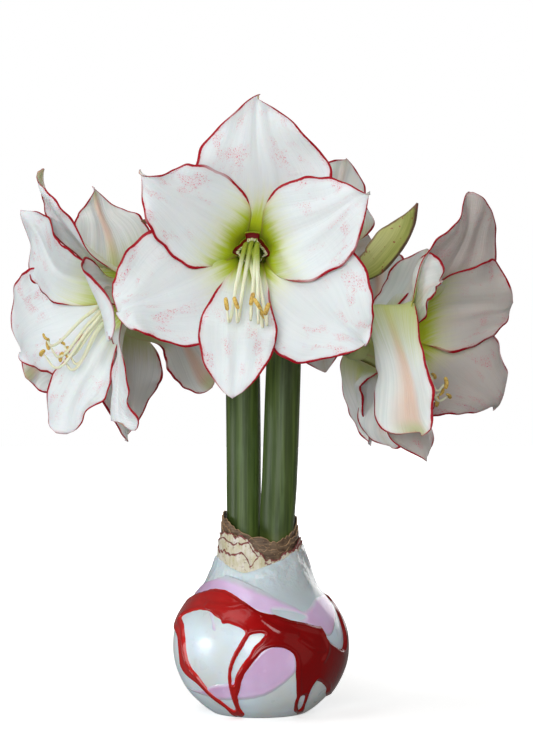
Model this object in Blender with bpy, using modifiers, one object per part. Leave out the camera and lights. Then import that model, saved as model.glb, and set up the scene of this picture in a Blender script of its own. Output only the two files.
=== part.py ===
"""Waxed amaryllis bulb: a wax-dipped bulb with two scapes and six open blooms.

Metres, +Z up. The origin is the centre of the wax coat's flat base, and the front faces -Y.
The dimensions below are in millimetres and degrees, and MM turns them into metres.
"""

import math
from typing import NamedTuple

import bmesh
import bpy
import numpy as np

MM = 0.001
GAP = 0.3           # left between pieces that touch

# Wax coat: (radius, height) of its outside, from the flat base up to the neck
WAX_OUTSIDE = (
    (27.0, 0.0), (33.0, 4.0), (39.8, 10.2), (46.3, 21.5), (49.3, 33.3), (48.9, 45.0),
    (45.6, 54.0), (39.3, 63.3), (32.4, 70.5), (27.4, 77.5), (25.0, 83.0),
)
WAX_WALL = 2.5
WAX_FLOOR = 3.0
WAX_SIDES = 32
WAX_RIM_FROM = 75.0      # above this height the coat rises and falls with its uneven rim
WAX_RIM_KNOTS = (-180, -150, -110, -80, -40, 0, 60, 120, 180)
WAX_RIM_RISE = (4.0, 1.5, -2.0, -1.5, 4.0, 9.0, 6.0, 3.0, 4.0)

# Bulb
NECK_RADIUS = 20.9
NECK_FROM = 77.0
BULB_TOP = 101.0
SOCKET_DEPTH = 18.0
SOCKET_CLEARANCE = 0.3
SCALE_STEP = 0.5         # how far one neck scale stands out from the next

# Papery tunic round the neck
TUNIC_WALL = 0.8
TUNIC_FOOT = 91.0
TUNIC_SIDES = 32
TUNIC_KNOTS = (-180, -152, -112, -64, -16, 20, 70, 120, 180)
TUNIC_RIM = (113.0, 108.0, 101.0, 98.0, 106.0, 110.0, 104.0, 108.0, 113.0)
TUNIC_RAG = 1.6

# Poured wax: thickness, and its outlines as seen from the front, (across, up).
# A point further across than the bulb's edge goes on round its side.
POUR_THICK = 1.1
POUR_GAP = 0.65
POUR_CELL = 6.5
RED_OUTLINE = (
    (-43.5, 64.5), (-34, 69.5), (-27.5, 69), (-17, 65.5), (-8, 62), (1, 58), (10, 54), (20, 52), (27, 50),
    (31, 49), (34.5, 63.5), (38.5, 66), (44, 60), (47.5, 52), (50, 42), (51.5, 30), (49, 18), (44, 8),
    (39, 4.5), (36.5, 9), (34, 13), (29, 12), (26.5, 4), (23, 1.5), (19.5, 3), (20.5, 9), (20.5, 16),
    (19, 25), (18, 32), (14, 35.5), (9, 35.5), (2, 32.5), (-4, 27.5), (-9, 20.5), (-12, 13), (-12.5, 6),
    (-9, 3.2), (-11, 2.8), (-15, 6.5), (-17.5, 13), (-18.5, 21), (-16.5, 30), (-12, 37), (-7.5, 42), (-10.5, 47.5),
    (-17, 50.5), (-20.5, 50.5), (-25.5, 55), (-31, 57.5), (-36, 57.5), (-44.5, 53.5), (-44.5, 46),
    (-43, 37), (-41.5, 28), (-38, 22), (-33, 16.5), (-27.5, 10.5), (-21, 6), (-16.5, 3.6), (-14.5, 2.8),
    (-15, 1.6), (-18.5, 2.4), (-25, 6.5), (-31.5, 12.5), (-37.5, 20), (-43.5, 27), (-46, 37),
    (-48, 45), (-47.5, 52.5), (-47, 57), (-42, 63),
)
RED_HOLE = (
    (-3.5, 43), (1.5, 42), (-1.5, 34), (-8, 25), (-12.5, 19.5), (-14.5, 24), (-13, 31), (-8.5, 38.5),
)
PINK_UPPER = (
    (-39, 64), (-33, 71), (-27, 75), (-21, 76), (-16, 74.5), (-9, 71.5), (1, 67), (12, 63), (23, 58.5),
    (28, 58), (33.5, 66), (38, 66), (42, 58), (42.5, 51.5), (40, 45), (37, 43), (34, 50), (27, 51), (18, 53),
    (7, 57), (-2, 60), (-9, 62), (-17, 64), (-29, 67), (-37, 66),
)
PINK_LOWER = (
    (-42, 11), (-33, 12.5), (-25, 15), (-18, 16.5), (-10, 22), (-4, 29), (3, 34), (10, 36), (19, 31), (20, 22),
    (15, 16), (8, 12), (0, 9), (-6, 7.5), (-15, 5.8), (-22, 5.8), (-28, 8), (-35, 9),
)

# Scapes: centre line and radius from the socket up, (x, y, z, radius)
SCAPE_LEFT = (
    (-9.2, 3.6, 0.0, 9.4), (-9.2, 3.6, 105.0, 9.4), (-9.2, 4.2, 130.0, 9.9), (-9.6, 4.5, 180.0, 9.9),
    (-10.6, 4.0, 235.0, 9.4), (-11.0, 3.0, 252.0, 9.0), (-11.0, 3.0, 258.0, 6.0),
)
SCAPE_RIGHT = (
    (9.3, -3.2, 0.0, 9.5), (9.6, -3.4, 105.0, 9.5), (11.0, -4.6, 130.0, 10.0), (12.8, -4.6, 180.0, 10.0),
    (14.6, -2.6, 235.0, 9.4), (15.0, -1.0, 252.0, 9.0), (15.0, -1.0, 258.0, 6.0),
)
SCAPE_SIDES = 12
PEDICEL_RADIUS = 3.4
OVARY_RADIUS = 6.0
OVARY_LENGTH = 16.0
PEDICEL_ROOT_HEIGHT = 251.0

# Tepals
PETAL_THICK = 0.9
PETAL_CELLS = (7, 4)             # along and across
LEAST_HALF_WIDTH = 1.6
OPENING_KNOTS = (0.0, 0.24, 0.55, 0.86, 1.0)
FLARED = (8, 34, 66, 84, 98)     # degrees from the bloom's axis, along the midrib
CUPPED = (7, 29, 58, 78, 94)
CURVATURE_KNOTS = (0.0, 0.25, 0.6, 0.9, 1.0)
CURVATURE = (0.14, 0.035, 0.004, 0.0, 0.02)      # across, per millimetre
WIDTH_KNOTS = (0.0, 0.12, 0.28, 0.45, 0.6, 0.75, 0.88, 1.0)
OUTLINES = {
    "pointed": (0.17, 0.26, 0.60, 0.92, 1.0, 0.86, 0.53, 0.03),
    "blunt": (0.17, 0.26, 0.60, 0.92, 1.0, 0.95, 0.74, 0.05),
    "low": (0.17, 0.30, 0.72, 1.0, 0.98, 0.78, 0.46, 0.05),
    "inner": (0.20, 0.28, 0.60, 0.92, 1.0, 0.88, 0.58, 0.03),
    "lip": (0.26, 0.32, 0.50, 0.74, 0.97, 0.93, 0.62, 0.04),
}
OUTER_TUBE_RADIUS = 7.0
INNER_TUBE_RADIUS = 6.0
RUFFLE = 2.0
RUFFLE_WAVES = 2.5
GOLDEN = 0.618                   # spreads the waves of one tepal and the next
# Solid foot of the floral tube: (radius, height) down its outside
TUBE_FOOT = ((0.0, 9.0), (8.0, 9.0), (11.2, 11.5), (9.6, 6.0), (8.7, 2.5), (7.6, -1.0), (0.0, -1.0))
TUBE_SIDES = 12

# Stamens, in the bloom's own frame: how far each goes forward and down
FILAMENT_REACH = (0.0, 18.0, 38.0, 53.0, 54.0)
FILAMENT_DROP = (0.0, 5.0, 21.0, 39.0, 35.0)
FILAMENT_RADIUS = 0.7
FILAMENT_SPREAD = 12.0
FILAMENTS = 6
ANTHER = (1.4, 1.4, 3.4)
STAMEN_DISC = (4.6, 9.3, 1.6)    # radius, height of its underside, thickness


class Tepal(NamedTuple):
    turn: float                  # degrees round the bloom's axis
    length: float
    half_width: float
    opening: tuple = FLARED
    outline: str = "pointed"
    swing: float = 0.0           # sideways sweep of the tip, as a share of the length
    twist: float = 0.0


class Bloom(NamedTuple):
    name: str
    scape: str
    foot: tuple
    yaw: float                   # 0 faces the front, 90 the right
    pitch: float
    outer: tuple
    inner: tuple


BLOOMS = (
    Bloom(
        "front", "left", (-5.5, -58.0, 262.0), -3.0, 2.0,
        (
            Tepal(84, 89, 34),
            Tepal(320, 97, 34, outline="blunt"),
            Tepal(212, 89, 34, outline="blunt"),
        ),
        (
            Tepal(12, 91, 29, CUPPED, "inner", swing=0.08),
            Tepal(152, 84, 28, CUPPED, "inner", swing=-0.07),
            Tepal(265, 105, 21, (7, 30, 62, 84, 100), "lip"),
        ),
    ),
    Bloom(
        "left", "left", (-60.0, 18.0, 237.0), -62.0, -8.0,
        (
            Tepal(90, 97, 30, (8, 30, 56, 76, 100)),
            Tepal(206, 104, 35.5, outline="blunt"),
            Tepal(317, 102, 30, outline="blunt"),
        ),
        (
            Tepal(18, 76, 24, (7, 29, 50, 68, 110), "inner"),
            Tepal(136, 94, 30, CUPPED, "inner"),
            Tepal(262, 100, 25, (7, 26, 48, 66, 84), "lip"),
        ),
    ),
    Bloom(
        "right", "right", (66.0, 7.0, 216.0), 70.0, -9.0,
        (
            Tepal(93, 100, 33, outline="low", twist=-22),
            Tepal(212, 98, 34, (8, 34, 68, 86, 97), "blunt", twist=42),
            Tepal(337, 97, 33, (8, 30, 57, 74, 88), "blunt"),
        ),
        (
            Tepal(33, 98, 30, CUPPED, "inner"),
            Tepal(149, 89, 22, CUPPED, "inner"),
            Tepal(248, 90, 20, CUPPED, "lip"),
        ),
    ),
    Bloom(
        "back_left", "left", (-80.0, 56.0, 223.5), 188.0, 3.0,
        (
            Tepal(79, 92, 30),
            Tepal(-34, 88, 30),
            Tepal(-148, 92, 30),
        ),
        (
            Tepal(138, 84, 26, (7, 24, 40, 50, 60), "inner"),
            Tepal(20, 86, 26, CUPPED, "inner"),
            Tepal(-92, 98, 24, CUPPED, "inner"),
        ),
    ),
    Bloom(
        "back_right", "right", (52.5, 40.0, 206.5), 132.0, 0.0,
        (
            Tepal(61, 84, 28, (8, 30, 54, 70, 80)),
            Tepal(180, 74, 26, (8, 26, 40, 48, 52)),
            Tepal(300, 89, 30),
        ),
        (
            Tepal(0, 70, 24, (7, 24, 40, 50, 56), "inner"),
            Tepal(110, 76, 22, CUPPED, "inner"),
            Tepal(252, 92, 24, CUPPED, "inner"),
        ),
    ),
    Bloom(
        "back", "right", (30.5, 52.0, 255.5), 190.0, 6.0,
        (
            Tepal(112, 78, 27),
            Tepal(-13, 84, 28, (8, 30, 50, 62, 72)),
            Tepal(-145, 64, 22, (8, 24, 36, 40, 40)),
        ),
        (
            Tepal(170, 66, 22, (8, 26, 46, 60, 70), "inner"),
            Tepal(47, 80, 24, CUPPED, "inner"),
            Tepal(-106, 97, 22, CUPPED, "inner"),
        ),
    ),
)

# Spathe bracts: centre line from root to tip, and half the girth at each point
BRACT_KNOTS = (0.0, 0.2, 0.5, 0.8, 1.0)
BRACT_HALF_WIDTH = (6.0, 9.5, 10.0, 5.5, 1.2)
BRACT_THICK = 1.4
BRACT_HOLLOW = 0.06              # curvature across, per millimetre
BRACT_CELLS = (8, 4)
BRACT_RIGHT = (
    (17.0, -2.0, 259.3), (27.0, -2.5, 258.7), (42.0, -3.0, 252.0),
    (58.0, -4.0, 251.0), (75.0, -5.0, 266.0), (88.0, -5.0, 286.0),
)
BRACT_LEFT = ((-13.5, 4.0, 259.0), (-32.0, 5.0, 264.0), (-50.0, 6.0, 270.0), (-67.0, 7.0, 277.0))

COLOURS = {
    "wax_white": ((0.86, 0.86, 0.88), 0.25),
    "wax_red": ((0.42, 0.0, 0.01), 0.2),
    "wax_pink": ((0.75, 0.44, 0.62), 0.25),
    "bulb": ((0.72, 0.66, 0.42), 0.6),
    "tunic": ((0.26, 0.16, 0.09), 0.8),
    "scape": ((0.10, 0.19, 0.07), 0.45),
    "bract": ((0.30, 0.32, 0.09), 0.5),
    "petal": ((0.86, 0.86, 0.84), 0.5),
    "stamen": ((0.75, 0.68, 0.30), 0.6),
}


def eased(x):
    """0 to 1 with a soft start and end."""
    x = np.clip(x, 0.0, 1.0)
    return x * x * (3.0 - 2.0 * x)


def through(knots, values, at):
    """A smooth curve through the values at the knots that doesn't overshoot them."""
    knots, values = np.asarray(knots, float), np.asarray(values, float)
    x = np.clip(at, knots[0], knots[-1])
    span = np.diff(knots)
    slope = np.diff(values) / span
    tangent = np.zeros_like(values)
    tangent[0], tangent[-1] = slope[0], slope[-1]
    same_way = slope[:-1] * slope[1:] > 0
    both = np.where(same_way, slope[:-1] + slope[1:], 1.0)
    tangent[1:-1] = np.where(same_way, 2 * slope[:-1] * slope[1:] / both, 0.0)
    i = np.clip(np.searchsorted(knots, x, side="right") - 1, 0, len(span) - 1)
    s = (x - knots[i]) / span[i]
    from_left = (2 * s**3 - 3 * s**2 + 1) * values[i] + (s**3 - 2 * s**2 + s) * span[i] * tangent[i]
    from_right = (-2 * s**3 + 3 * s**2) * values[i + 1] + (s**3 - s**2) * span[i] * tangent[i + 1]
    return from_left + from_right


def smooth_path(points, count):
    """The points of a hand-set route, joined by a smooth curve and read off evenly."""
    points = np.asarray(points, float)
    steps = np.linalg.norm(np.diff(points[:, :3], axis=0), axis=1)
    along = np.concatenate([[0.0], np.cumsum(steps)])
    at = np.linspace(0.0, along[-1], count)
    return np.stack([through(along, column, at) for column in points.T], axis=1)


def clear_scene():
    for obj in list(bpy.data.objects):
        bpy.data.objects.remove(obj, do_unlink=True)


def make_collection(name, helper=False):
    made = bpy.data.collections.new(name)
    bpy.context.scene.collection.children.link(made)
    made.hide_render = helper
    return made


def make_material(slot):
    colour, roughness = COLOURS[slot]
    made = bpy.data.materials.new(slot)
    made.use_nodes = True
    shader = made.node_tree.nodes["Principled BSDF"]
    shader.inputs["Base Color"].default_value = (*colour, 1.0)
    shader.inputs["Roughness"].default_value = roughness
    return made


def add_object(name, mesh, home, slot=None):
    made = bpy.data.objects.new(name, mesh)
    home.objects.link(made)
    if slot:
        mesh.materials.clear()
        mesh.materials.append(MATERIALS[slot])
    return made


def as_mesh(source, name, home, slot=None):
    """A new mesh object of the source as its modifiers leave it, and the source is removed."""
    bpy.context.view_layer.update()
    evaluated = source.evaluated_get(bpy.context.evaluated_depsgraph_get())
    mesh = bpy.data.meshes.new_from_object(evaluated)
    mesh.transform(source.matrix_world)
    bpy.data.objects.remove(source, do_unlink=True)
    work = bmesh.new()
    work.from_mesh(mesh)
    bmesh.ops.remove_doubles(work, verts=work.verts, dist=0.00001)
    work.to_mesh(mesh)
    work.free()
    mesh.name = name
    return add_object(name, mesh, home, slot)


def move_points(mesh, rule):
    """Every vertex of the mesh goes where the rule sends it."""
    points = np.empty(len(mesh.vertices) * 3)
    mesh.vertices.foreach_get("co", points)
    mesh.vertices.foreach_set("co", rule(points.reshape(-1, 3)).ravel())
    mesh.update()


def face_outwards(mesh):
    work = bmesh.new()
    work.from_mesh(mesh)
    bmesh.ops.recalc_face_normals(work, faces=work.faces)
    work.to_mesh(mesh)
    work.free()


def keep_largest_body(mesh):
    """Drops the loose scraps and inner hollows that a union leaves."""
    work = bmesh.new()
    work.from_mesh(mesh)
    left = set(work.verts)
    bodies = []
    while left:
        grown, edge = set(), [left.pop()]
        while edge:
            vert = edge.pop()
            grown.add(vert)
            near = {e.other_vert(vert) for e in vert.link_edges} & left
            left -= near
            edge.extend(near)
        bodies.append(grown)
    bodies.sort(key=len)
    for body in bodies[:-1]:
        bmesh.ops.delete(work, geom=list(body), context="VERTS")
    work.to_mesh(mesh)
    work.free()


def turned(name, profile, sides, home, slot=None):
    """A profile of (radius, height), run down its outer side, turned about Z."""
    mesh = bpy.data.meshes.new(name)
    mesh.from_pydata([(r * MM, 0.0, z * MM) for r, z in profile],
                     [(i, i + 1) for i in range(len(profile) - 1)], [])
    made = add_object(name, mesh, home)
    screw = made.modifiers.new("turn", "SCREW")
    screw.steps = screw.render_steps = sides
    screw.use_merge_vertices = True
    screw.merge_threshold = 0.00001
    solid = as_mesh(made, name, home, slot)
    face_outwards(solid.data)
    return solid


def tube(name, points, sides, home, slot=None):
    """A round tube along points of (x, y, z, radius), with closed ends."""
    curve = bpy.data.curves.new(name, "CURVE")
    curve.dimensions = "3D"
    spline = curve.splines.new("POLY")
    spline.points.add(len(points) - 1)
    widest = max(radius for *_, radius in points)
    for point, (x, y, z, radius) in zip(spline.points, points):
        point.co = (x * MM, y * MM, z * MM, 1.0)
        point.radius = radius / widest
    curve.bevel_depth = widest * MM
    curve.bevel_resolution = sides // 2 - 2
    curve.use_fill_caps = True
    curve.resolution_u = 1
    return as_mesh(add_object(name, curve, home), name, home, slot)


def fuse(name, base, others, home, slot, operation="UNION"):
    """One Boolean of the base with all the others, applied, and the others are removed."""
    group = make_collection(name + "_pieces", helper=True)
    for piece in others:
        for owner in list(piece.users_collection):
            owner.objects.unlink(piece)
        group.objects.link(piece)
        piece.hide_render = True
        piece.display_type = "WIRE"
    join = base.modifiers.new("fuse", "BOOLEAN")
    join.operation = operation
    join.operand_type = "COLLECTION"
    join.collection = group
    join.solver = "EXACT"
    done = as_mesh(base, name, home, slot)
    for piece in list(group.objects):
        bpy.data.objects.remove(piece, do_unlink=True)
    bpy.data.collections.remove(group)
    keep_largest_body(done.data)
    return done


def outer_radius(height):
    """The wax coat's outside radius at a height."""
    radii, heights = zip(*WAX_OUTSIDE)
    return through(heights, radii, height)


def rim_rise(points, knots, rises):
    """The rise round the rim at each point, by its direction from the axis."""
    around = np.degrees(np.arctan2(points[:, 1], points[:, 0]))
    return through(knots, rises, around)


def make_wax_coat(home):
    outside = list(WAX_OUTSIDE[::-1])
    top = outside[0][1]
    inside = [(r - WAX_WALL, z) for r, z in outside if z > WAX_FLOOR + 3.0]
    floor = [(outer_radius(WAX_FLOOR) - WAX_WALL, WAX_FLOOR), (0.0, WAX_FLOOR)]
    profile = floor[::-1] + inside[::-1] + outside + [(0.0, 0.0)]
    coat = turned("wax_coat", profile, WAX_SIDES, home, "wax_white")

    def lift_rim(points):
        share = eased((points[:, 2] / MM - WAX_RIM_FROM) / (top - WAX_RIM_FROM))
        points[:, 2] += share * rim_rise(points, WAX_RIM_KNOTS, WAX_RIM_RISE) * MM
        return points

    move_points(coat.data, lift_rim)
    return coat


def make_bulb(home):
    """The bulb fills the coat, and its neck stands out of it in stepped scales."""
    low = WAX_FLOOR + GAP
    body = [(r - WAX_WALL - GAP, z) for r, z in WAX_OUTSIDE[::-1] if WAX_FLOOR + 3.0 < z < NECK_FROM]
    seat = [(outer_radius(WAX_FLOOR) - WAX_WALL - 2 * GAP, low), (0.0, low)]
    steps = np.linspace(TUNIC_FOOT - 1.0, NECK_FROM, 4)
    neck = [(NECK_RADIUS - SCALE_STEP * (i % 2), z) for i, z in enumerate(steps)]
    crown = [(0.0, BULB_TOP), (NECK_RADIUS - 1.2, BULB_TOP), (NECK_RADIUS - SCALE_STEP, BULB_TOP - 4.0)]
    profile = crown + neck + body + seat
    bulb = turned("bulb_blank", profile, WAX_SIDES, home)
    cutters = []
    for side, route in (("left", SCAPE_LEFT), ("right", SCAPE_RIGHT)):
        x, y, _, radius = route[0]
        x_top, y_top, _, radius_top = route[1]
        hole = radius + SOCKET_CLEARANCE
        hole_top = radius_top + SOCKET_CLEARANCE
        cut = [(x, y, BULB_TOP - SOCKET_DEPTH, hole), (x_top, y_top, BULB_TOP + 5.0, hole_top)]
        cutters.append(tube("socket_" + side, cut, SCAPE_SIDES, home))
    return fuse("bulb", bulb, cutters, home, "bulb", "DIFFERENCE")


def make_tunic(home):
    inner = NECK_RADIUS + GAP
    outer = inner + TUNIC_WALL
    profile = [(inner, 1.0), (outer, 1.0), (outer + 0.5, 0.5), (outer, 0.0), (inner, 0.0), (inner, 1.0)]
    tunic = turned("papery_tunic", profile, TUNIC_SIDES, home, "tunic")

    def stretch(points):
        share = points[:, 2] / MM
        around = np.arctan2(points[:, 1], points[:, 0])
        rag = TUNIC_RAG * np.sin(11 * around) * np.sin(4 * around + 1.0)
        rim = rim_rise(points, TUNIC_KNOTS, TUNIC_RIM) + rag
        points[:, 2] = (TUNIC_FOOT + share * (rim - TUNIC_FOOT)) * MM
        return points

    move_points(tunic.data, stretch)
    return tunic


def flat_pour(name, outlines, home, spread=0.0, thick=POUR_THICK):
    """A flat slab of the outlines, in unrolled width and height, cut into cells."""
    curve = bpy.data.curves.new(name, "CURVE")
    curve.dimensions = "2D"
    curve.fill_mode = "BOTH"
    curve.extrude = thick / 2 * MM
    curve.offset = spread * MM
    curve.resolution_u = 1
    for outline in outlines:
        spline = curve.splines.new("POLY")
        spline.points.add(len(outline) - 1)
        spline.use_cyclic_u = True
        for point, (across, up) in zip(spline.points, outline):
            radius = float(outer_radius(max(up, 0.0)))
            if across > radius:
                angle = math.pi / 2 + (across - radius) / radius
            elif across < -radius:
                angle = -math.pi / 2 + (across + radius) / radius
            else:
                angle = math.asin(across / radius)
            point.co = (angle * WAX_WIDEST * MM, up * MM, 0.0, 1.0)
    return as_mesh(add_object(name, curve, home), name, home)


def cut_into_cells(mesh, cell):
    """Cuts the slab along a square grid, so that it can bend."""
    work = bmesh.new()
    work.from_mesh(mesh)
    bmesh.ops.dissolve_limit(work, angle_limit=0.01, verts=work.verts, edges=work.edges)
    for axis in (0, 1):
        spots = [vert.co[axis] for vert in work.verts]
        first = math.ceil(min(spots) / (cell * MM))
        last = math.floor(max(spots) / (cell * MM))
        normal = (1.0, 0.0, 0.0) if axis == 0 else (0.0, 1.0, 0.0)
        for i in range(first, last + 1):
            at = tuple(n * i * cell * MM for n in normal)
            bmesh.ops.bisect_plane(work, geom=work.verts[:] + work.edges[:] + work.faces[:],
                                   plane_co=at, plane_no=normal)
    bmesh.ops.triangulate(work, faces=work.faces)
    work.to_mesh(mesh)
    work.free()


def wrap(mesh):
    """Lays the slab on the coat: across becomes the angle, and thickness the radius."""
    def lay(points):
        angle = points[:, 0] / MM / WAX_WIDEST
        height = points[:, 1] / MM
        radius = outer_radius(np.maximum(height, 0.0)) + POUR_GAP + POUR_THICK / 2 + points[:, 2] / MM
        return np.stack([radius * np.sin(angle), -radius * np.cos(angle), height], axis=1) * MM

    move_points(mesh, lay)


def make_pours(home):
    red = flat_pour("wax_red", [RED_OUTLINE, RED_HOLE], home)
    add_slot(red, "wax_red")
    pinks = []
    for name, outline in (("wax_pink_upper", PINK_UPPER), ("wax_pink_lower", PINK_LOWER)):
        blank = flat_pour(name + "_blank", [outline], home)
        cutter = flat_pour(name + "_room", [RED_OUTLINE, RED_HOLE], home, POUR_GAP, 3 * POUR_THICK)
        pinks.append(fuse(name, blank, [cutter], home, "wax_pink", "DIFFERENCE"))
    for piece in [red] + pinks:
        cut_into_cells(piece.data, POUR_CELL)
        wrap(piece.data)
        face_outwards(piece.data)


def add_slot(obj, slot):
    obj.data.materials.clear()
    obj.data.materials.append(MATERIALS[slot])


def bloom_axes(bloom):
    """The bloom's own directions: right, up and forward, as unit vectors."""
    yaw, pitch = math.radians(bloom.yaw), math.radians(bloom.pitch)
    forward = np.array([math.sin(yaw) * math.cos(pitch), -math.cos(yaw) * math.cos(pitch), math.sin(pitch)])
    up = np.array([0.0, 0.0, 1.0]) - forward[2] * forward
    up /= np.linalg.norm(up)
    return np.cross(up, forward), up, forward


def place_in_bloom(points, bloom):
    """Points in the bloom's frame, in millimetres, to metres in the part's frame."""
    right, up, forward = bloom_axes(bloom)
    placed = points[:, :1] * right + points[:, 1:2] * up + points[:, 2:] * forward
    return (np.asarray(bloom.foot) + placed) * MM


def tepal_surface(along, across, tepal, tube_radius, phase):
    """Points of a tepal, for along from 0 to 1 and across from -1 to 1."""
    fine = np.linspace(0.0, 1.0, 200)
    angle = np.radians(through(OPENING_KNOTS, tepal.opening, fine))
    step = tepal.length / (len(fine) - 1)
    out = tube_radius + np.concatenate([[0.0], np.cumsum(np.sin(angle[1:]))]) * step
    ahead = np.concatenate([[0.0], np.cumsum(np.cos(angle[1:]))]) * step
    tilt = np.interp(along, fine, angle)
    half = tepal.half_width * through(WIDTH_KNOTS, OUTLINES[tepal.outline], along)
    half = np.maximum(half, LEAST_HALF_WIDTH)
    sideways = across * half
    curved = np.maximum(through(CURVATURE_KNOTS, CURVATURE, along), 1e-4)
    lateral = np.sin(curved * sideways) / curved
    inward = (1.0 - np.cos(curved * sideways)) / curved
    wave = np.sin(2 * math.pi * (RUFFLE_WAVES * along + phase + np.where(across < 0, 0.37, 0.0)))
    room = np.minimum(2.0 * half / tepal.half_width, 1.0)
    inward = inward + RUFFLE * room * across**2 * eased((along - 0.28) / 0.35) * wave
    twist = math.radians(tepal.twist) * eased(along)
    lateral, inward = (lateral * np.cos(twist) - inward * np.sin(twist),
                       lateral * np.sin(twist) + inward * np.cos(twist))
    radius = np.interp(along, fine, out) - inward * np.cos(tilt)
    height = np.interp(along, fine, ahead) + inward * np.sin(tilt)
    lateral = lateral + tepal.swing * tepal.length * along**2
    turn = math.radians(tepal.turn)
    x = radius * math.cos(turn) - lateral * math.sin(turn)
    y = radius * math.sin(turn) + lateral * math.cos(turn)
    return np.stack([x, y, height], axis=1)


def make_tepal(name, bloom, tepal, tube_radius, phase, home):
    """A grid bent to the tepal's surface, split into triangles and given its thickness."""
    bpy.ops.mesh.primitive_grid_add(x_subdivisions=PETAL_CELLS[0], y_subdivisions=PETAL_CELLS[1], size=1.0)
    blade = bpy.context.object
    blade.name = name
    for owner in list(blade.users_collection):
        owner.objects.unlink(blade)
    home.objects.link(blade)

    def bend(points):
        surface = tepal_surface(points[:, 0] + 0.5, points[:, 1] * 2.0, tepal, tube_radius, phase)
        return place_in_bloom(surface, bloom)

    move_points(blade.data, bend)
    split = blade.modifiers.new("split", "TRIANGULATE")
    split.quad_method = "FIXED"
    wall = blade.modifiers.new("wall", "SOLIDIFY")
    wall.thickness = PETAL_THICK * MM
    wall.offset = 0.0
    solid = as_mesh(blade, name, home)
    face_outwards(solid.data)
    return solid


def make_bloom(bloom, home):
    foot = turned("foot_" + bloom.name, TUBE_FOOT, TUBE_SIDES, home)
    move_points(foot.data, lambda points: place_in_bloom(points / MM, bloom))
    face_outwards(foot.data)
    blades = []
    whorls = ((bloom.outer, OUTER_TUBE_RADIUS), (bloom.inner, INNER_TUBE_RADIUS))
    for tepals, tube_radius in whorls:
        for tepal in tepals:
            phase = GOLDEN * len(blades)
            name = f"tepal_{bloom.name}_{len(blades)}"
            blades.append(make_tepal(name, bloom, tepal, tube_radius, phase, home))
    return fuse("bloom_" + bloom.name, foot, blades, home, "petal")


def filament_route(bloom, number):
    """One filament: forward out of the throat, down under its weight, and up at its tip."""
    _, _, forward = bloom_axes(bloom)
    side = np.cross(forward, (0.0, 0.0, 1.0))
    side /= np.linalg.norm(side)
    turn = math.radians(30 + 60 * number)
    length = 1.0 + 0.07 * math.sin(2.4 * number)
    lean = math.cos(turn) * FILAMENT_SPREAD
    knots = np.linspace(0.0, 1.0, len(FILAMENT_REACH))
    start = np.asarray(bloom.foot) + forward * (STAMEN_DISC[1] + STAMEN_DISC[2] / 2)
    start = start + 2.6 * math.cos(turn) * side + np.array([0.0, 0.0, 2.6 * math.sin(turn)])
    route = [
        start + forward * reach * length - np.array([0.0, 0.0, drop * length]) + side * lean * knot**1.5
        for knot, reach, drop in zip(knots, FILAMENT_REACH, FILAMENT_DROP)
    ]
    return np.array(route)


def make_stamens(bloom, home):
    radius, low, thick = STAMEN_DISC
    rim = [(0.0, low + thick), (radius, low + thick), (radius, low), (0.0, low)]
    disc = turned("disc_" + bloom.name, rim, 8, home)
    move_points(disc.data, lambda points: place_in_bloom(points / MM, bloom))
    face_outwards(disc.data)
    pieces = []
    for number in range(FILAMENTS):
        route = filament_route(bloom, number)
        points = np.column_stack([route, np.full(len(route), FILAMENT_RADIUS)])
        pieces.append(tube(f"filament_{bloom.name}_{number}", points, 4, home))
        bpy.ops.mesh.primitive_uv_sphere_add(segments=4, ring_count=3, radius=1.0)
        anther = bpy.context.object
        anther.name = f"anther_{bloom.name}_{number}"
        for owner in list(anther.users_collection):
            owner.objects.unlink(anther)
        home.objects.link(anther)
        move_points(anther.data, lambda points, at=route[-1]: (points * ANTHER + at) * MM)
        pieces.append(anther)
    return fuse("stamens_" + bloom.name, disc, pieces, home, "stamen")


def make_scape(side, route, home):
    """A scape with its three pedicels, each swelling into the ovary under its bloom."""
    stem_route = [(x, y, max(z, BULB_TOP - SOCKET_DEPTH + GAP), radius) for x, y, z, radius in route]
    stem = tube("stem_" + side, smooth_path(stem_route, 9), SCAPE_SIDES, home)
    root = np.array([route[-1][0], route[-1][1], PEDICEL_ROOT_HEIGHT])
    branches = []
    for bloom in BLOOMS:
        if bloom.scape != side:
            continue
        _, _, forward = bloom_axes(bloom)
        foot = np.asarray(bloom.foot) + forward * TUBE_FOOT[-1][1]
        top = foot - forward * 2 * GAP
        waist = top - forward * OVARY_LENGTH
        middle = (root + waist) / 2 + np.array([0.0, 0.0, 3.0])
        points = [(*root, PEDICEL_RADIUS), (*middle, PEDICEL_RADIUS), (*waist, PEDICEL_RADIUS + 0.4),
                  (*(top - forward * OVARY_LENGTH * 0.45), OVARY_RADIUS), (*top, OVARY_RADIUS)]
        branches.append(tube("pedicel_" + bloom.name, smooth_path(points, 6), 8, home))
    return fuse("scape_" + side, stem, branches, home, "scape")


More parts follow.
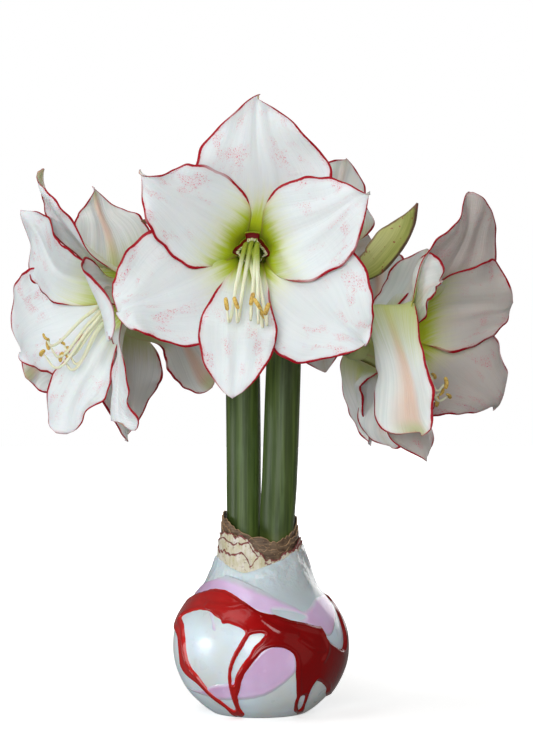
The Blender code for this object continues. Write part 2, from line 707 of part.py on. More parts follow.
def make_bract(name, route, home):
    """A boat-shaped blade along its route, hollow side up."""
    spine = smooth_path(np.column_stack([route, np.zeros(len(route))]), 21)[:, :3]
    bpy.ops.mesh.primitive_grid_add(x_subdivisions=BRACT_CELLS[0], y_subdivisions=BRACT_CELLS[1], size=1.0)
    blade = bpy.context.object
    blade.name = name + "_blade"
    for owner in list(blade.users_collection):
        owner.objects.unlink(blade)
    home.objects.link(blade)
    run = np.linspace(0.0, 1.0, len(spine))
    heading = spine[-1] - spine[0]
    heading /= np.linalg.norm(heading)
    side = np.cross(heading, (0.0, 0.0, 1.0))
    side /= np.linalg.norm(side)
    up = np.cross(side, heading)

    def bend(points):
        along, across = points[:, 0] + 0.5, points[:, 1] * 2.0
        middle = np.stack([np.interp(along, run, spine[:, i]) for i in range(3)], axis=1)
        reach = across * through(BRACT_KNOTS, BRACT_HALF_WIDTH, along)
        lateral = np.sin(BRACT_HOLLOW * reach) / BRACT_HOLLOW
        lift = (1.0 - np.cos(BRACT_HOLLOW * reach)) / BRACT_HOLLOW
        return (middle + lateral[:, None] * side + lift[:, None] * up) * MM

    move_points(blade.data, bend)
    split = blade.modifiers.new("split", "TRIANGULATE")
    split.quad_method = "FIXED"
    wall = blade.modifiers.new("wall", "SOLIDIFY")
    wall.thickness = BRACT_THICK * MM
    wall.offset = 0.0
    made = as_mesh(blade, name, home, "bract")
    face_outwards(made.data)
    return made


def smooth_shading(home):
    for obj in home.objects:
        obj.data.shade_smooth()
        obj.data.set_sharp_from_angle(angle=math.radians(40))


WAX_WIDEST = max(radius for radius, _ in WAX_OUTSIDE)

clear_scene()
MATERIALS = {slot: make_material(slot) for slot in COLOURS}
plant = make_collection("waxed_amaryllis_bulb")
make_wax_coat(plant)
make_pours(plant)
make_bulb(plant)
make_tunic(plant)
make_scape("left", SCAPE_LEFT, plant)
make_scape("right", SCAPE_RIGHT, plant)
make_bract("spathe_right", BRACT_RIGHT, plant)
make_bract("spathe_left", BRACT_LEFT, plant)
for each in BLOOMS:
    make_bloom(each, plant)
    make_stamens(each, plant)
smooth_shading(plant)
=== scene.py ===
"""The looks of a waxed amaryllis bulb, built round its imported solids.

Lengths are in millimetres and angles in degrees, and MM turns them into metres.
The front faces -Y, and the origin is the centre of the wax coat's flat base.
"""

import math
from typing import NamedTuple

import bmesh
import bpy
import numpy as np
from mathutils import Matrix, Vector


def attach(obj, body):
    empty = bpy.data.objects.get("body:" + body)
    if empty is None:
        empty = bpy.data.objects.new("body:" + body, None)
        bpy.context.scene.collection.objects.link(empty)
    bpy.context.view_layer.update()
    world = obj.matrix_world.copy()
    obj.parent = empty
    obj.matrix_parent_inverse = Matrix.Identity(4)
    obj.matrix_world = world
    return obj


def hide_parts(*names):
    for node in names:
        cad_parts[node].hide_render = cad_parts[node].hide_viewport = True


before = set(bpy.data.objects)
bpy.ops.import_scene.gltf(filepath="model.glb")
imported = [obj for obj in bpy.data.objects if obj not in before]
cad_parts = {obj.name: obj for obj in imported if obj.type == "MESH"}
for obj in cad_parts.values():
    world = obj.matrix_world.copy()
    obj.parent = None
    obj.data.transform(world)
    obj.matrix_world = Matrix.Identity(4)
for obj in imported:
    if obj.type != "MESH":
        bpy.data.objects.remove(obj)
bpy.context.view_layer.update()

MM = 0.001
UP = np.array([0.0, 0.0, 1.0])
SAME_SPOT = 0.02                 # points closer than this are one

# Camera: it stands far off, at the height of the blooms, and looks a little down
CAMERA_DISTANCE = 1300.0
CAMERA_PITCH = math.radians(1.0)
CAMERA_LOOK = np.array([0.0, math.cos(CAMERA_PITCH), -math.sin(CAMERA_PITCH)])
CAMERA_UP = np.array([0.0, math.sin(CAMERA_PITCH), math.cos(CAMERA_PITCH)])
CAMERA_PLACE = np.array([3.7, 0.0, 191.0]) - CAMERA_DISTANCE * CAMERA_LOOK
PHOTO_PIXELS = (533, 746)
MM_PER_PIXEL = 0.565             # at the bulb's axis
SENSOR = 36.0


def eased(x, low=0.0, high=1.0):
    """0 at low and 1 at high, with a soft start and end. High may be the lower one."""
    x = np.clip((x - low) / (high - low), 0.0, 1.0)
    return x * x * (3.0 - 2.0 * x)


def rows(*columns):
    """Columns, or single numbers for a whole column, side by side."""
    return np.stack(np.broadcast_arrays(*columns), axis=1)


def unit(vectors):
    """The same directions, each one long."""
    return vectors / np.linalg.norm(vectors, axis=-1, keepdims=True)


def round_axis(radius, around, height):
    """Points at so much from the upright axis, turned round it."""
    return rows(radius * np.cos(around), radius * np.sin(around), height)


def through(knots, values, at):
    """A smooth curve through the values at the knots that doesn't overshoot them."""
    knots, values = np.asarray(knots, float), np.asarray(values, float)
    span = np.diff(knots)
    slope = np.diff(values) / span
    same_way = slope[:-1] * slope[1:] > 0
    both = np.where(same_way, slope[:-1] + slope[1:], 1.0)
    between = np.where(same_way, 2 * slope[:-1] * slope[1:] / both, 0.0)
    tangent = np.concatenate([slope[:1], between, slope[-1:]])
    x = np.clip(at, knots[0], knots[-1])
    i = np.clip(np.searchsorted(knots, x, side="right") - 1, 0, len(span) - 1)
    s = (x - knots[i]) / span[i]
    from_left = (2 * s**3 - 3 * s**2 + 1) * values[i] + (s**3 - 2 * s**2 + s) * span[i] * tangent[i]
    from_right = (-2 * s**3 + 3 * s**2) * values[i + 1] + (s**3 - s**2) * span[i] * tangent[i + 1]
    return from_left + from_right


def smooth_path(points, count):
    """The points of a given route, joined by a smooth curve and read off evenly."""
    points = np.asarray(points, float)
    steps = np.linalg.norm(np.diff(points[:, :3], axis=0), axis=1)
    along = np.concatenate([[0.0], np.cumsum(steps)])
    at = np.linspace(0.0, along[-1], count)
    return rows(*(through(along, column, at) for column in points.T))


def headings(path):
    """The way a path runs at each of its points."""
    return unit(np.gradient(path, axis=0))


def rounded_outline(points, steps=6):
    """A closed outline that runs smoothly through its given points."""
    before, after, beyond = (np.roll(points, shift, axis=0) for shift in (1, -1, -2))
    s = np.linspace(0.0, 1.0, steps, endpoint=False)[:, None, None]
    curve = 0.5 * (
        2 * points
        + (after - before) * s
        + (2 * before - 5 * points + 4 * after - beyond) * s**2
        + (3 * points - before - 3 * after + beyond) * s**3
    )
    return curve.transpose(1, 0, 2).reshape(-1, 2)


def waves(*columns, seed, count=6, rate=1.0):
    """A smooth uneven field from -1 to 1: a sum of sines in seeded directions."""
    chance = np.random.default_rng(seed)
    total = 0.0
    for _ in range(count):
        direction = unit(chance.normal(size=len(columns)))
        pace = rate * chance.uniform(0.6, 1.7)
        phase = chance.uniform(0, 2 * math.pi)
        total = total + np.sin(sum(d * c for d, c in zip(direction, columns)) * pace + phase)
    return total / count * 1.6


def waves_round(around, pace, *others, seed, count=6):
    """Such a field that closes on itself round a ring."""
    return waves(np.cos(around) * pace, np.sin(around) * pace, *others, seed=seed, count=count)


def across_view(right, down):
    """Moves of so many millimetres right and down, as the camera sees them."""
    return np.outer(right, (1.0, 0.0, 0.0)) - np.outer(down, CAMERA_UP)


def seen_at(points):
    """Where the camera sees each point, in pixels right and down, and a pixel's size there."""
    away = points - CAMERA_PLACE
    size = (away @ CAMERA_LOOK) * MM_PER_PIXEL / CAMERA_DISTANCE
    return PHOTO_PIXELS[0] / 2 + away[:, 0] / size, PHOTO_PIXELS[1] / 2 - (away @ CAMERA_UP) / size, size


def sight_lines(right, down):
    """The direction from the camera through each pixel, one millimetre along Y."""
    size = MM_PER_PIXEL / CAMERA_DISTANCE
    right, down = np.asarray(right) - PHOTO_PIXELS[0] / 2, np.asarray(down) - PHOTO_PIXELS[1] / 2
    way = CAMERA_LOOK + across_view(right * size, down * size)
    return way / way[:, 1:2]


def point_behind(right, down, depth):
    """The point that shows at a pixel and stands at Y = depth."""
    return CAMERA_PLACE + sight_lines([right], [down])[0] * (depth - CAMERA_PLACE[1])


def linear(screen_colour):
    """A colour read off a screen, as the linear colour that a shader takes."""
    parts = [part / 255 for part in screen_colour]
    return (*(part / 12.92 if part <= 0.04045 else ((part + 0.055) / 1.055) ** 2.4 for part in parts), 1.0)


class Value:
    """One output of a shader node, to reckon with like a number."""

    def __init__(self, paint, socket):
        self.paint = paint
        self.socket = socket

    def math(self, operation, *values):
        return self.paint.node("ShaderNodeMath", {"operation": operation}, dict(enumerate(values)))

    def __add__(self, other):
        return self.math("ADD", self, other)

    def __sub__(self, other):
        return self.math("SUBTRACT", self, other)

    def __rsub__(self, other):
        return self.math("SUBTRACT", other, self)

    def __mul__(self, other):
        return self.math("MULTIPLY", self, other)

    def __truediv__(self, other):
        return self.math("DIVIDE", self, other)

    __radd__ = __add__
    __rmul__ = __mul__

    def size(self):
        return self.math("ABSOLUTE", self)

    def rise(self, low, high):
        """0 up to low and 1 from high, with a soft change between. High may be the lower one."""
        if low > high:
            return 1.0 - self.rise(high, low)
        settings = {"interpolation_type": "SMOOTHSTEP"}
        return self.paint.node("ShaderNodeMapRange", settings, {0: self, 1: low, 2: high})


class Paint:
    """A material: the colour laid on so far, its shader, and one method that adds any other node.

    Its patterns follow the piece's own coordinates, or where it is flat the sheet that the mesh
    was bent from. Colours are red, green and blue as a screen gives them."""

    def __init__(self, name, colour, flat=False, **constants):
        self.material = bpy.data.materials.new(name)
        self.material.use_nodes = True
        self.tree = self.material.node_tree
        self.shader = self.tree.nodes["Principled BSDF"]
        self.colour = colour
        self.flat = flat
        for socket, value in constants.items():
            self.shader.inputs[socket.replace("_", " ")].default_value = value

    def node(self, kind, settings=None, sockets=None, out=0):
        made = self.tree.nodes.new(kind)
        for name, value in (settings or {}).items():
            setattr(made, name, value)
        for name, value in (sockets or {}).items():
            if isinstance(value, Value):
                self.tree.links.new(value.socket, made.inputs[name])
            else:
                made.inputs[name].default_value = value
        return Value(self, made.outputs[out])

    def drive(self, socket, value):
        self.tree.links.new(value.socket, self.shader.inputs[socket])

    def mix(self, share, low, high):
        low, high = (linear(colour) if isinstance(colour, tuple) else colour for colour in (low, high))
        return self.node("ShaderNodeMix", {"data_type": "RGBA"}, {0: share, 6: low, 7: high}, 2)

    def lay(self, share, colour):
        """Lays a colour over what is there, as thickly as its share says."""
        self.colour = self.mix(share, self.colour, colour)

    def stored(self, name, axis=None):
        """What the mesh stores at each point: a number, or one part of a vector."""
        settings = {"attribute_name": name}
        if axis is None:
            return self.node("ShaderNodeAttribute", settings, out=2)
        return self.part(self.node("ShaderNodeAttribute", settings, out=1), axis)

    def place(self, stretch=(1.0, 1.0, 1.0)):
        """Where each point lies, in millimetres, divided by the stretch."""
        if self.flat:
            spot = self.node("ShaderNodeAttribute", {"attribute_name": "flat"}, out=1)
        else:
            spot = self.node("ShaderNodeTexCoord", out=3)
        unit_size = 1.0 if self.flat else MM
        scale = tuple(1.0 / (unit_size * part) for part in stretch)
        return self.node("ShaderNodeMapping", None, {0: spot, 3: scale})

    def part(self, vector, axis):
        return self.node("ShaderNodeSeparateXYZ", None, {0: vector}, axis)

    def axis(self, number):
        return self.part(self.place(), number)

    def noise(self, size, detail=2.0, roughness=0.5):
        """Noise from 0 to 1. Its size is one length, or one for each direction, all in millimetres."""
        if isinstance(size, tuple):
            place, scale = self.place((*size, 1.0)[:3]), 1.0
        else:
            place, scale = self.place(), 1.0 / size
        sockets = {"Vector": place, "Scale": scale, "Detail": detail, "Roughness": roughness}
        return self.node("ShaderNodeTexNoise", None, sockets)

    def finish(self, height, depth, roughness=None):
        """Joins up the colour, the roughness, and a bump from a height of 0 to 1, which is so deep."""
        self.drive("Base Color", self.colour)
        if roughness is not None:
            self.drive("Roughness", roughness)
        self.drive("Normal", self.node("ShaderNodeBump", None, {"Height": height, "Distance": depth * MM}))
        return self.material


WHITE_PETAL = (228, 232, 234)
COOL_PETAL = (208, 215, 219)
SHADED_PETAL = (190, 168, 148)
EDGE_RED = (164, 0, 27)
SPECKLE_PINK = (216, 88, 120)
THROAT_LIME = (188, 204, 40)
THROAT_PALE = (226, 228, 160)
THROAT_OLIVE_SHADE = (112, 132, 24)
THROAT_DEEP_SHADE = (92, 104, 20)
THROAT_MAROON = (104, 0, 10)
THROAT_FRINGE = (226, 214, 180)
PETAL_FLESH = {"Specular_IOR_Level": 0.25, "Subsurface_Weight": 0.12, "Subsurface_Scale": 0.002}


def lay_petal_edge(paint):
    """The red line along a tepal's rim, which thins, swells and breaks off."""
    rim, inked = paint.stored("rim"), paint.stored("inked")
    width = (0.25 + paint.noise(9.0, 3.0) * 1.6 + paint.noise(1.6) * 0.6) * inked
    strength = paint.noise(22.0, 1.0).rise(0.26, 0.4)
    paint.lay((width + 1.1 - rim).rise(-1.2, 1.0) * 0.16 * strength, SPECKLE_PINK)
    paint.lay((width - rim).rise(-0.2, 0.2) * (0.3 + 0.7 * strength) * inked.rise(0.0, 0.5), EDGE_RED)


def paint_petal_face():
    paint = Paint("petal_face", WHITE_PETAL, flat=True, Roughness=0.45, **PETAL_FLESH)
    along = paint.axis(1)
    reach = paint.stored("span", 0)
    side = paint.stored("span", 1).size()
    collar, warm = paint.stored("collar"), paint.stored("warm")
    vein = paint.noise((0.8, 26.0), 2.0, 0.6)
    wide_vein = paint.noise((3.2, 60.0), 1.0)
    paint.lay(wide_vein.rise(0.35, 0.75) * 0.2, COOL_PETAL)
    paint.lay(vein.rise(0.5, 0.8) * 0.35, COOL_PETAL)
    # Painted shade: a warm grey over the faces of a bloom that stands in shade
    paint.lay(warm * 0.45, SHADED_PETAL)
    # Speckles in clusters, on the outer half and clear of the midrib
    cluster = paint.noise((8.0, 15.0)).rise(0.49, 0.63)
    misted = cluster * (reach.rise(0.42, 0.62) * reach.rise(0.96, 0.84) * side.rise(0.08, 0.4))
    paint.lay(misted * 0.07, SPECKLE_PINK)
    paint.lay(paint.noise((0.6, 1.1), 1.0).rise(0.60, 0.67) * misted, SPECKLE_PINK)
    paint.lay(paint.noise((0.35, 0.6), 1.0).rise(0.60, 0.68) * misted * 0.8, SPECKLE_PINK)
    # Lime rays out of the throat, olive painted shade deeper in, in the seams and on the collar, and darker
    # painted shade inside the tube
    edge_of_lime = 17.0 + paint.noise((1.8, 40.0)) * 15.0 + warm * 8.0
    paint.lay((edge_of_lime + 9.0 - along).rise(-9.0, 12.0) * 0.62, THROAT_PALE)
    paint.lay((edge_of_lime - along).rise(-7.0, 7.0), THROAT_LIME)
    paint.lay(side.rise(0.6, 1.0) * along.rise(30.0, 15.0) * 0.6, THROAT_OLIVE_SHADE)
    paint.lay(along.rise(21.0, 11.0) * 0.55 + collar * 0.45, THROAT_OLIVE_SHADE)
    paint.lay(along.rise(11.0, 7.5) * collar.rise(1.0, 0.0) * 0.9, THROAT_DEEP_SHADE)
    # The collar's red band, and its fringe of pale threads
    uneven = along + paint.noise(1.6) * 1.6 - 0.8
    paint.lay(uneven.rise(10.4, 11.0) * uneven.rise(16.2, 15.2) * collar, THROAT_MAROON)
    fringe = uneven.rise(11.0, 10.4) * collar
    # The fringe's ground in olive painted shade
    paint.lay(fringe, THROAT_OLIVE_SHADE)
    paint.lay(fringe * paint.noise((0.5, 40.0), 1.0).rise(0.42, 0.56), THROAT_FRINGE)
    lay_petal_edge(paint)
    pucker = paint.noise((10.0, 2.2))
    return paint.finish(vein * 0.5 + wide_vein * 0.4 + pucker * 0.6, 0.4)


def paint_petal_back():
    paint = Paint("petal_back", (232, 234, 232), flat=True, Roughness=0.5, **PETAL_FLESH)
    across = paint.axis(0).size()
    reach, outer = paint.stored("span", 0), paint.stored("span", 2)
    vein = paint.noise((0.8, 30.0), 2.0, 0.6)
    wide_vein = paint.noise((2.6, 60.0), 1.0)
    paint.lay(wide_vein.rise(0.35, 0.75) * 0.6, (212, 217, 216))
    # The salmon band down the midrib, green at both its ends
    stray = paint.noise((40.0, 18.0), 1.0)
    tip_width = reach.rise(0.3, 0.9) * outer * 2.5
    midrib = ((0.4 + stray * 3.0 + tip_width - across) / (1.0 + tip_width * 0.3)).rise(-3.2, 2.2)
    blush = paint.mix(reach.rise(0.35, 0.6), (206, 208, 128), (226, 180, 152))
    blush = paint.mix(reach.rise(0.86, 0.97), blush, (170, 172, 80))
    paint.lay(midrib * (0.2 + 0.45 * outer.rise(0.0, 1.0)), blush)
    paint.lay(vein.rise(0.5, 0.85) * midrib * 0.5, (176, 120, 84))
    # The green foot of the back. It reaches further with the blush, on the most blushed tepal partly as
    # painted shade in a crease
    paint.lay((0.2 + vein * 0.2 + outer * 0.04 - reach).rise(-0.2, 0.08) * 0.85, (184, 192, 108))
    lay_petal_edge(paint)
    return paint.finish(vein * 0.6 + wide_vein * 0.8, 0.35)


def paint_white_wax():
    paint = Paint(
        "white_wax", (222, 238, 250), IOR=1.45, Coat_Weight=0.25, Coat_Roughness=0.16,
        Subsurface_Weight=0.25, Subsurface_Scale=0.004,
    )
    right, up = paint.axis(0), paint.axis(2)
    paint.lay(paint.noise(34.0).rise(0.3, 0.7), (214, 220, 220))
    # Painted light: the coat's left side lightened almost to white
    paint.lay(right.rise(-30.0, -62.0) * 0.8, (246, 251, 255))
    # The upper neck greyer, partly thin wax over the bulb and partly painted shade, which makes it twice as
    # strong on the right
    neck_grey_and_shade = up.rise(48.0, 64.0) * (0.5 + 0.5 * right.rise(-15.0, 10.0))
    paint.lay(neck_grey_and_shade * 0.6, (176, 186, 190))
    paint.lay(paint.noise(5.0, 3.0).rise(0.62, 0.75) * 0.12, (150, 152, 150))
    rough_neck = paint.noise(4.5, 3.0) * up.rise(68.0, 78.0) * 1.6
    return paint.finish(paint.noise(7.0) * 0.3 + rough_neck, 0.9, 0.22 + 0.16 * paint.noise(9.0))


def paint_red_wax():
    paint = Paint(
        "red_wax", (190, 14, 16), IOR=1.4, Specular_IOR_Level=0.2, Coat_Weight=0.3, Coat_Roughness=0.1,
    )
    right = paint.axis(0)
    paint.lay(paint.noise(20.0).rise(0.35, 0.65), (162, 2, 6))
    # Painted sheen: the pour lightened towards pink on its left
    paint.lay(right.rise(2.0, -28.0) * 0.5, (216, 58, 54))
    # Painted shade: the pour darker towards its right
    paint.lay(right.rise(-12.0, 18.0), (132, 0, 0))
    streak = paint.noise((3.0, 3.0, 16.0), 3.0)
    veil = right.rise(33.0, 41.0) * (0.35 + 0.65 * streak.rise(0.35, 0.7))
    paint.lay(veil * 0.45, (124, 44, 44))
    paint.lay(paint.stored("thick").rise(0.7, 1.5) * 0.4, (116, 0, 2))
    return paint.finish(paint.noise(6.0), 0.18, 0.13 + 0.16 * paint.noise(12.0))


def paint_pink_wax():
    paint = Paint(
        "pink_wax", (214, 214, 224), IOR=1.45, Coat_Weight=0.35, Coat_Roughness=0.08,
        Subsurface_Weight=0.2, Subsurface_Scale=0.004,
    )
    pink = paint.mix(paint.noise(24.0).rise(0.3, 0.7), (230, 198, 236), (216, 176, 216))
    paint.lay((paint.stored("rim") + 1.6 * paint.noise(6.0)).rise(0.4, 3.2), pink)
    return paint.finish(paint.noise(7.0), 0.2, 0.18 + 0.14 * paint.noise(9.0))


def paint_scape():
    paint = Paint("scape_green", (58, 78, 30), Specular_IOR_Level=0.4)
    stripe = paint.noise((1.6, 1.6, 60.0))
    band = paint.noise((9.0, 9.0, 130.0), 1.0)
    waxy = paint.noise((6.0, 6.0, 26.0), 3.0)
    paint.lay(stripe.rise(0.3, 0.7), (86, 106, 46))
    paint.lay(band.rise(0.42, 0.66) * 0.7, (44, 58, 22))
    paint.lay(waxy.rise(0.5, 0.8) * 0.3, (104, 126, 86))
    paint.lay(paint.axis(2).rise(104.0, 92.0) * 0.5, (120, 130, 60))
    paint.lay(paint.noise((0.9, 0.9, 3.0)).rise(0.70, 0.78) * 0.7, (44, 52, 26))
    return paint.finish(stripe * 0.7 + band * 0.3, 0.3, 0.36 + 0.2 * waxy)


def paint_bract():
    paint = Paint("bract_green", (168, 178, 88), flat=True, Roughness=0.45)
    across = paint.axis(0).size()
    vein = paint.noise((0.8, 26.0))
    rust = paint.noise((2.5, 12.0))
    paint.lay(vein.rise(0.3, 0.7), (198, 202, 116))
    paint.lay(across.rise(4.0, 13.0) * 0.5, (214, 212, 148))
    paint.lay(paint.axis(1).rise(80.0, 105.0) * 0.6, (112, 116, 50))
    paint.lay((0.8 + rust * 3.6 - across).rise(-0.6, 0.9) * 0.9, (86, 40, 44))
    paint.lay((0.3 + rust * 1.6 - paint.stored("rim")).rise(-0.4, 0.4) * 0.8, (120, 78, 56))
    paint.lay(paint.noise(3.0, 1.0).rise(0.70, 0.74) * 0.8, (160, 60, 50))
    return paint.finish(vein, 0.3)


def paint_neck_skin(name, low, high, edge, edge_width, grain):
    """A dry or fleshy skin of the bulb's neck: two colours in streaks, and its torn edge."""
    paint = Paint(name, low, Roughness=0.62)
    streak = paint.noise(grain, 3.0, 0.6)
    cloud = paint.noise(6.0)
    paint.lay((streak * 0.6 + cloud * 0.6).rise(0.4, 0.8), high)
    paint.lay(paint.noise((3.2, 3.2, 1.8), 3.0, 0.6).rise(0.64, 0.72) * 0.5, (96, 58, 44))
    paint.lay(paint.noise(1.4).rise(0.60, 0.70) * 0.5, edge)
    ragged = edge_width * (3.0 * paint.noise(1.9) - 0.8)
    paint.lay((ragged - paint.stored("rim")).rise(-0.35, 0.35) * 0.92, edge)
    return paint.finish(streak * 0.7 + cloud * 0.3, 0.5)


def paint_filament():
    paint = Paint("filament", (150, 164, 40), Roughness=0.4, Subsurface_Weight=0.15, Subsurface_Scale=0.001)
    streak = paint.noise((0.5, 0.5, 6.0))
    paint.lay(paint.stored("along").rise(0.31, 0.48), (236, 236, 208))
    paint.lay(streak.rise(0.4, 0.8) * 0.3, (206, 208, 150))
    return paint.finish(streak, 0.08)


def paint_anther():
    paint = Paint("anther", (200, 158, 66), Roughness=0.75)
    grain = paint.noise(0.7, 3.0)
    paint.lay(grain.rise(0.35, 0.65), (232, 200, 108))
    paint.lay(paint.noise(3.0, 1.0).rise(0.5, 0.8) * 0.6, (126, 84, 40))
    return paint.finish(grain, 0.25)


def paint_floor():
    """A pale floor that shines of itself further out, so that it ends in white."""
    paint = Paint(
        "pale_floor", (0, 0, 0), Base_Color=(0.9, 0.9, 0.9, 1.0), Roughness=0.9, Specular_IOR_Level=0.0,
        Emission_Strength=1.0,
    )
    away = paint.node("ShaderNodeVectorMath", {"operation": "LENGTH"}, {0: paint.place()}, 1)
    paint.lay(0.55 + 0.45 * away.rise(60.0, 420.0), (255, 255, 255))
    paint.drive("Emission Color", paint.colour)
    return paint.material


def alone(obj):
    """Selects this object and nothing else, so that an operator acts on it alone."""
    bpy.ops.object.select_all(action="DESELECT")
    obj.select_set(True)
    bpy.context.view_layer.objects.active = obj


def apply_modifiers(obj):
    alone(obj)
    for modifier in list(obj.modifiers):
        bpy.ops.object.modifier_apply(modifier=modifier.name)


def points_of(obj):
    points = np.empty(len(obj.data.vertices) * 3)
    obj.data.vertices.foreach_get("co", points)
    return points.reshape(-1, 3) / MM


def set_points(obj, points):
    obj.data.vertices.foreach_set("co", (points * MM).ravel())
    obj.data.update()


def store(obj, name, *columns):
    """Keeps a number or a vector at every point of the mesh, for its material to read."""
    kind, field = ("FLOAT", "value") if len(columns) == 1 else ("FLOAT_VECTOR", "vector")
    layer = obj.data.attributes.new(name, kind, "POINT")
    every = np.zeros(len(obj.data.vertices))
    layer.data.foreach_set(field, rows(*(every + column for column in columns)).ravel())


def wear(obj, *materials):
    """Gives a piece its materials."""
    for material in materials:
        obj.data.materials.append(material)


def start_sheet(name, cells_along, cells_across):
    """A flat grid to bend, and each point's place along it, 0 to 1, and across it, -1 to 1."""
    bpy.ops.object.select_all(action="DESELECT")
    bpy.ops.mesh.primitive_grid_add(x_subdivisions=cells_along, y_subdivisions=cells_across, size=MM)
    sheet = bpy.context.object
    sheet.name = name
    points = points_of(sheet)
    return sheet, points[:, 0] + 0.5, points[:, 1] * 2.0


def start_rings(name, sides, rings):
    """A closed ball to reshape ring by ring, with each point's ring number and its angle round."""
    bpy.ops.object.select_all(action="DESELECT")
    bpy.ops.mesh.primitive_uv_sphere_add(segments=sides, ring_count=rings, radius=MM)
    ball = bpy.context.object
    ball.name = name
    x, y, z = points_of(ball).T
    ring = np.rint((1.0 - np.arccos(np.clip(z, -1.0, 1.0)) / math.pi) * rings).astype(int)
    return ball, ring, np.arctan2(y, x)


def turned(name, profile, sides, swell=None):
    """A closed profile of (radius, height), from pole to pole, turned about Z."""
    profile = np.asarray(profile, float)
    piece, ring, around = start_rings(name, sides, len(profile) - 1)
    radius, height = profile[ring].T
    if swell:
        radius, height = swell(radius, height, around, ring / (len(profile) - 1))
    set_points(piece, round_axis(radius, around, height))
    return piece


def tube(name, route, sides, rings, section=None):
    """A closed tube along points of (x, y, z, radius), with rounded ends."""
    piece, ring, around = start_rings(name, sides, rings)
    path = smooth_path(route, rings + 1)
    centre, radius = path[:, :3], path[:, 3].copy()
    radius[0] = radius[-1] = 0.0
    heading = headings(centre)
    side = np.cross(heading[0], (0.31, 0.52, 0.79))     # any way that no tube starts
    sides_kept = []
    for direction in heading:
        side = unit(side - np.dot(side, direction) * direction)
        sides_kept.append(side)
    side = np.array(sides_kept)
    share = ring / rings
    reach = radius[ring] * (section(share, around) if section else 1.0)
    outward = np.cos(around)[:, None] * side[ring] + np.sin(around)[:, None] * np.cross(heading, side)[ring]
    set_points(piece, centre[ring] + reach[:, None] * outward)
    store(piece, "along", share)
    return piece


def join(name, pieces):
    """Makes several pieces one object, which keeps each one's materials."""
    alone(pieces[0])
    for piece in pieces[1:]:
        piece.select_set(True)
    bpy.ops.object.join()
    whole = bpy.context.object
    whole.name = name
    return whole


def thicken(sheet, thick, *materials):
    """Gives a sheet its wall, on the side away from its face. A second material is for its back."""
    wear(sheet, *materials)
    wall = sheet.modifiers.new("wall", "SOLIDIFY")
    wall.thickness = thick * MM
    wall.offset = -1.0
    wall.material_offset = len(materials) - 1
    apply_modifiers(sheet)


def present(piece, slot, *nodes):
    """Shades a finished piece smooth, and ties it to the frame."""
    piece.data.shade_smooth()
    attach(piece, "root")
    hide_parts(*nodes)


# Blooms

PETAL_THICK = 0.5
PETAL_CELLS = (60, 40)           # along and across
MIDRIB_STEPS = 200
OPENING_KNOTS = (0.0, 0.24, 0.55, 0.86, 1.0)
FLARED = (8, 34, 66, 84, 98)     # degrees from the bloom's axis, along the midrib
CUPPED = (7, 29, 58, 78, 94)
CURVATURE_KNOTS = (0.0, 0.25, 0.6, 0.9, 1.0)
CURVATURE = (0.14, 0.035, 0.004, 0.0, 0.02)      # across, per millimetre
WIDTH_KNOTS = (0.0, 0.12, 0.28, 0.45, 0.6, 0.75, 0.88, 0.97, 1.0)
OUTLINES = {
    "pointed": (0.17, 0.26, 0.60, 0.92, 1.0, 0.86, 0.53, 0.17, 0.02),
    "blunt": (0.17, 0.26, 0.60, 0.92, 1.0, 0.95, 0.74, 0.30, 0.03),
    "low": (0.17, 0.30, 0.72, 1.0, 0.98, 0.78, 0.46, 0.15, 0.02),
    "inner": (0.20, 0.28, 0.60, 0.92, 1.0, 0.88, 0.58, 0.19, 0.02),
    "lip": (0.26, 0.32, 0.50, 0.74, 0.97, 0.94, 0.68, 0.32, 0.06),
}
OUTER_TUBE_RADIUS = 7.0
INNER_TUBE_RADIUS = 6.0
GOLDEN = 0.618                   # spreads the waves of one tepal and the next
RUFFLE = 2.0
RUFFLE_WAVES = 2.5
OTHER_EDGE_PHASE = 0.37
CRINKLE = 1.1                    # small curls of the very edge
PLEAT = 0.5                      # low folds of the blade
RAG = 0.028                      # unevenness of the outline, as a share of the width
MIDRIB_DEPTH = 0.7
MIDRIB_WIDTH = 3.4
TUBE_FOOT = (
    (0.0, -1.0), (5.0, -1.0), (7.6, -0.6), (8.3, 1.0), (8.7, 2.5), (9.0, 4.5), (9.2, 6.0), (9.1, 6.9),
    (8.8, 7.0), (8.5, 6.2), (8.0, 3.0), (7.0, 1.4), (4.0, 1.2), (0.0, 1.2),
)
FOOT_SIDES = 48
PATTERN_ROUND = 0.15             # how far the pattern moves across for each degree round the throat
NO_RIM = 50.0                    # a distance at which no rim is painted


class Tepal(NamedTuple):
    turn: float                  # degrees round the bloom's axis
    length: float
    half_width: float
    opening: tuple = FLARED
    outline: str = "pointed"
    swing: float = 0.0           # sideways sweep of the tip, as a share of the length
    twist: float = 0.0
    inked: float = 1.0           # width of the red rim
    blush: float = 1.0           # of the salmon band down an outer tepal's back, and the reach of its green foot, partly painted shade
    pins: tuple = ()             # (along, across, right, down): the pixel where that point shows


class Bloom(NamedTuple):
    name: str
    scape: str
    foot: tuple
    yaw: float                   # 0 faces the front, 90 the right
    pitch: float
    outer: tuple
    inner: tuple
    warm: float = 0.0            # how far a painted shade, a warm grey, is laid over the petals' faces
